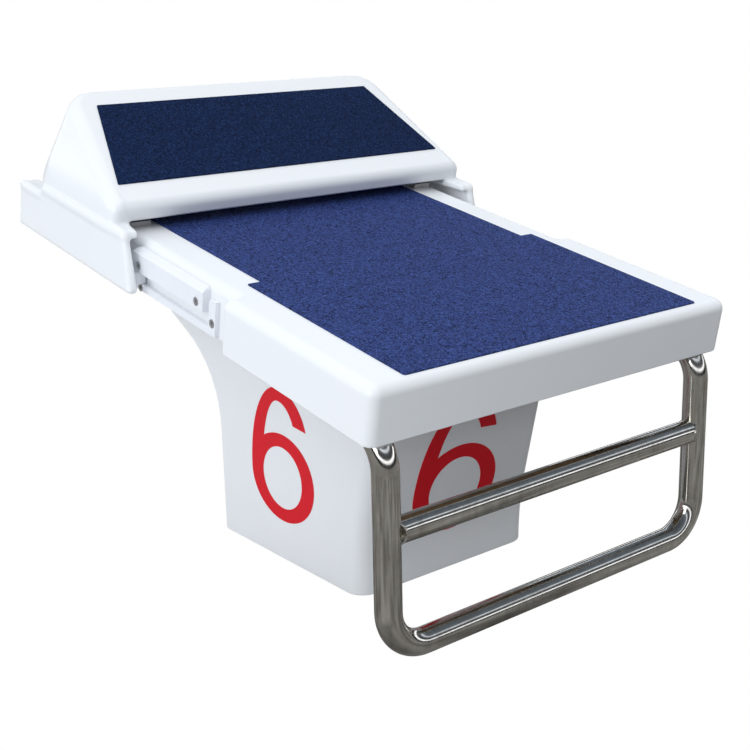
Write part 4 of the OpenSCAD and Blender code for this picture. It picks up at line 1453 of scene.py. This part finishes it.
@dataclass
class RailScrews:
    """Countersunk socket screws that hold the rails, set out by Geometry Nodes."""

    head_r: float = 5.0
    head_h: float = 2.5
    shank_r: float = 2.45
    length: float = 16.0
    socket_r: float = 2.3
    socket_depth: float = 1.9
    same_level: float = 0.01
    seed: int = 3

    def spots(self) -> list[tuple[Vector, Vector]]:
        """Reads the screws' places from the CAD screws.

        Returns:
            Each head's middle, and the way it faces.
        """
        mesh = frame["nodes"]["rail_screws"].data
        points = np.empty(len(mesh.vertices) * 3)
        mesh.vertices.foreach_get("co", points)
        points = points.reshape(-1, 3)
        found: list[tuple[Vector, Vector]] = []
        for side in (-1, 1):
            heads = points[points[:, 0] * side > 0]
            while len(heads):
                far = heads[np.argmax(np.round(heads[:, 0] * side, 6))]
                level = np.abs(heads[:, 0] - far[0]) < self.same_level * MM
                near = np.linalg.norm(heads[:, 1:] - far[1:], axis=1) < 2.2 * self.head_r * MM
                rim = heads[level & near]
                middle = (rim.min(axis=0) + rim.max(axis=0)) / 2
                found.append((Vector(middle), Vector((side, 0, 0))))
                apart = np.linalg.norm(heads[:, 1:] - middle[1:], axis=1) > 1.15 * self.head_r * MM
                heads = heads[apart]
        return found

    def tree(self) -> bpy.types.NodeTree:
        """The node tree: one screw with a hexagon socket, turned to face outwards at every point.

        Returns:
            The node tree.
        """
        group = bpy.data.node_groups.new("socket_screws", "GeometryNodeTree")
        face = group.interface
        face.new_socket("Points", in_out="INPUT", socket_type="NodeSocketGeometry")
        for name in ("Head Radius", "Head Height", "Shank Radius", "Length", "Socket Radius", "Socket Depth"):
            face.new_socket(name, in_out="INPUT", socket_type="NodeSocketFloat")
        face.new_socket("Seed", in_out="INPUT", socket_type="NodeSocketInt")
        face.new_socket("Screws", in_out="OUTPUT", socket_type="NodeSocketGeometry")
        tree = Tree(group)
        add, links = tree.add, tree.links
        given = add("NodeGroupInput").outputs

        def lift(geometry: bpy.types.NodeSocket, z: Number) -> bpy.types.NodeSocket:
            """Moves a mesh along Z."""
            shift = add("ShaderNodeCombineXYZ", None, Z=z).outputs[0]
            return add("GeometryNodeTransform", None, Geometry=geometry, Translation=shift).outputs[0]

        head = add(
            "GeometryNodeMeshCone",
            None,
            Vertices=48,
            Radius_Top=given["Head Radius"],
            Radius_Bottom=given["Shank Radius"],
            Depth=given["Head Height"],
        ).outputs["Mesh"]
        head = lift(head, Value(tree, given["Head Height"]) * -1.0)
        shank = add(
            "GeometryNodeMeshCylinder", None, Vertices=24, Radius=given["Shank Radius"], Depth=given["Length"]
        ).outputs["Mesh"]
        shank = lift(shank, Value(tree, given["Length"]) * -0.5)
        deep = Value(tree, given["Socket Depth"]) * 2.0
        key = add(
            "GeometryNodeMeshCylinder", None, Vertices=6, Radius=given["Socket Radius"], Depth=deep
        ).outputs["Mesh"]
        body = add("GeometryNodeMeshBoolean", {"operation": "UNION"})
        links.new(head, body.inputs["Mesh 2"])
        links.new(lift(shank, -0.0002), body.inputs["Mesh 2"])
        holed = add("GeometryNodeMeshBoolean", {"operation": "DIFFERENCE"})
        links.new(body.outputs[0], holed.inputs["Mesh 1"])
        links.new(key, holed.inputs["Mesh 2"])
        facing = add("GeometryNodeInputNamedAttribute", {"data_type": "FLOAT_VECTOR"}, Name="facing")
        turn = add(
            "FunctionNodeAlignRotationToVector", {"axis": "Z"}, Vector=facing.outputs["Attribute"]
        ).outputs[0]
        sixth = math.pi / 3
        spin = add("FunctionNodeRandomValue", {"data_type": "FLOAT"}, Min=0.0, Max=sixth, Seed=given["Seed"])
        amount = next(s for s in spin.outputs if s.enabled)
        around = add("ShaderNodeCombineXYZ", None, Z=amount).outputs[0]
        screw = holed.outputs[0]
        placed = add("GeometryNodeInstanceOnPoints", None, Points=given["Points"], Instance=screw, Rotation=turn)
        spun = add("GeometryNodeRotateInstances", None, Instances=placed.outputs[0], Rotation=around)
        real = add("GeometryNodeRealizeInstances", None, Geometry=spun.outputs[0]).outputs[0]
        dressed = add("GeometryNodeSetMaterial", None, Geometry=real, Material=SCREW_STEEL.material())
        links.new(dressed.outputs[0], add("NodeGroupOutput").inputs[0])
        return group

    def build(self) -> None:
        """Sets out the screws and turns them into one plain mesh."""
        spots = self.spots()
        mesh = bpy.data.meshes.new("rail_socket_screws")
        mesh.from_pydata([tuple(p) for p, _ in spots], [], [])
        facing = mesh.attributes.new("facing", "FLOAT_VECTOR", "POINT")
        facing.data.foreach_set("vector", [c for _, d in spots for c in d])
        piece = bpy.data.objects.new("rail_socket_screws", mesh)
        bpy.context.scene.collection.objects.link(piece)
        maker = piece.modifiers.new("screws", "NODES")
        maker.node_group = self.tree()
        sizes = {
            "Head Radius": self.head_r * MM,
            "Head Height": self.head_h * MM,
            "Shank Radius": self.shank_r * MM,
            "Length": self.length * MM,
            "Socket Radius": self.socket_r * MM,
            "Socket Depth": self.socket_depth * MM,
            "Seed": self.seed,
        }
        for item in maker.node_group.interface.items_tree:
            if item.in_out == "INPUT" and item.name in sizes:
                maker[item.identifier] = sizes[item.name]
        bake(piece)
        smooth(piece, 30)
        log.info("%d rail screws", len(spots))
        ride_as(piece, SCREW_STEEL, Body.BLOCK, "rail_screws")


# ---------------------------------------------------------------- studio


WHITE = (1.0, 1.0, 1.0)


@dataclass
class Studio:
    """Floor, light and camera. The camera sees plain white round the object, and other rays a room."""

    camera_at: tuple[float, float, float] = (-0.9586, -1.2205, 0.6579)
    azimuth: float = -38.89
    elevation: float = 15.29
    roll: float = -1.19
    lens: float = 62.687
    shift: Point2 = (-0.014, -0.0256)
    key_power: float = 80.0
    key_at: tuple[float, float, float] = (-5.0, -0.7, 2.3)
    key_size: float = 3.0
    aim_height: float = 0.3
    floor_half: float = 9.0
    floor_z: float = -0.0004

    def camera(self) -> None:
        """Sets the camera."""
        a, e, r = (math.radians(x) for x in (self.azimuth, self.elevation, self.roll))
        back = Vector((math.sin(a) * math.cos(e), -math.cos(a) * math.cos(e), math.sin(e)))
        right = (-back).cross(Vector((0, 0, 1))).normalized()
        up = right.cross(-back)
        across = right * math.cos(r) + up * math.sin(r)
        above = up * math.cos(r) - right * math.sin(r)
        data = bpy.data.cameras.new("camera")
        data.lens, data.sensor_width = self.lens, 36.0
        data.shift_x, data.shift_y = self.shift
        data.clip_start, data.clip_end = 0.05, 60.0
        camera = bpy.data.objects.new("camera", data)
        turn = Matrix((across, above, back)).transposed().to_4x4()
        camera.matrix_world = Matrix.Translation(self.camera_at) @ turn
        bpy.context.scene.collection.objects.link(camera)
        bpy.context.scene.camera = camera

    def floor(self) -> None:
        """Lays a floor that is white to the camera, dark slabs to glossy rays, and a painted pool of bounce
        light to the other rays.
        """
        edge = self.floor_half
        spots = [(x * edge, y * edge, self.floor_z) for x, y in ((-1, -1), (1, -1), (1, 1), (-1, 1))]
        plane = new_piece("floor", spots, [range(4)])
        made = bpy.data.materials.new("floor_pale")
        tree = Tree.on(made)
        rays = tree.add("ShaderNodeLightPath")
        slabs = tree.noise(tree.place(), 7.0, 3.0)
        dark = tree.blend(slabs.between(0.35, 0.65), (0.13, 0.125, 0.115), (0.34, 0.33, 0.31))
        parts = tree.add("ShaderNodeSeparateXYZ", None, Vector=tree.place()).outputs
        across, along = Value(tree, parts[0]), Value(tree, parts[1])
        # painted light: the floor that the other rays meet is pale towards -X and +Y and dark towards +X, a
        # painted pool of bounce light
        painted_light_pool = (along * 0.8 - across + 0.2).between(-0.3, 0.5)
        lit = tree.blend(painted_light_pool, (0.12, 0.118, 0.115), (0.80, 0.815, 0.84))
        tone = tree.blend(Value(tree, rays.outputs["Is Glossy Ray"]), lit, dark)
        plain = tree.add("ShaderNodeBsdfDiffuse", None, Color=tone)
        self.white_to_camera(tree, rays, plain, "ShaderNodeEmission", "ShaderNodeOutputMaterial")
        plane.data.materials.append(made)

    @staticmethod
    def white_to_camera(tree: Tree, rays: bpy.types.Node, shader: bpy.types.Node, white: str, out: str) -> None:
        """Shows the camera plain white and every other ray a shader.

        Args:
            tree: The floor's or the room's tree.
            rays: Its Light Path node.
            shader: What the other rays meet.
            white: Type of the node that gives the white.
            out: Type of the output node.
        """
        pale = tree.add(white, None, Color=(*WHITE, 1.0), Strength=1.0)
        camera = rays.outputs["Is Camera Ray"]
        mixed = tree.add("ShaderNodeMixShader", None, in0=camera, in1=shader.outputs[0], in2=pale.outputs[0])
        tree.links.new(mixed.outputs[0], tree.add(out).inputs[0])

    def light(self) -> None:
        """Sets a soft key light and a room of soft light round the object."""
        lamp = bpy.data.lights.new("key", "AREA")
        lamp.energy, lamp.size = self.key_power, self.key_size
        lamp.color = (0.97, 0.985, 1.0)
        key = bpy.data.objects.new("key", lamp)
        key.location = self.key_at
        aim = Vector((0, 0, self.aim_height)) - key.location
        key.rotation_euler = aim.to_track_quat("-Z", "Y").to_euler()
        bpy.context.scene.collection.objects.link(key)
        world = bpy.data.worlds.new("room")
        bpy.context.scene.world = world
        tree = Tree.on(world)
        way = tree.add("ShaderNodeTexCoord").outputs["Generated"]
        parts = tree.add("ShaderNodeSeparateXYZ", None, Vector=way).outputs
        across, along, height = (Value(tree, p) for p in parts)
        bands = [
            (0.0, (0.10, 0.10, 0.10)),
            (0.48, (0.20, 0.19, 0.17)),
            (0.49, (0.01, 0.01, 0.01)),
            (0.55, (0.015, 0.015, 0.018)),
            (0.56, (1.3, 1.35, 1.45)),
            (0.60, (2.2, 2.25, 2.35)),
            (0.62, (0.05, 0.055, 0.06)),
            (0.71, (0.10, 0.11, 0.13)),
            (0.75, (1.2, 1.3, 1.45)),
            (0.78, (0.16, 0.19, 0.23)),
            (1.0, (0.06, 0.07, 0.09)),
        ]
        soft = [
            (0.0, (0.22, 0.22, 0.22)),
            (0.49, (0.16, 0.16, 0.16)),
            (0.56, (0.24, 0.25, 0.27)),
            (0.72, (1.25, 1.285, 1.33)),
            (1.0, (1.50, 1.545, 1.60)),
        ]
        rays = tree.add("ShaderNodeLightPath")
        sheen = tree.add("ShaderNodeValToRGB", {"stops": bands}, Fac=height * 0.5 + 0.5).outputs[0]
        sky = tree.add("ShaderNodeValToRGB", {"stops": soft}, Fac=height * 0.5 + 0.5).outputs[0]
        shade = (along * -0.35 + across * 0.1).between(-0.7, 0.4)
        dim = tree.blend(shade * 0.45 + 0.55, (0.0, 0.0, 0.0), sky)
        seen = tree.blend(Value(tree, rays.outputs["Is Glossy Ray"]), dim, sheen)
        room = tree.add("ShaderNodeBackground", None, Color=seen, Strength=1.0)
        self.white_to_camera(tree, rays, room, "ShaderNodeBackground", "ShaderNodeOutputWorld")

    def build(self) -> None:
        """Builds the studio."""
        self.camera()
        self.floor()
        self.light()
        bpy.context.scene.view_settings.view_transform = "Standard"


def main() -> None:
    """Builds the block from the deck up, then the studio."""
    logging.basicConfig(level=logging.INFO, format="%(message)s")
    mouldings = (PlatformMoulding(), PedestalMoulding(), BackPlateMoulding())
    fittings = (Mats(), Handle(), Hardware(), RailScrews(), LaneNumbers())
    for assembly in mouldings + fittings:
        log.info("-- %s", type(assembly).__name__)
        assembly.build()
    Studio().build()


if __name__ == "__main__":
    main()
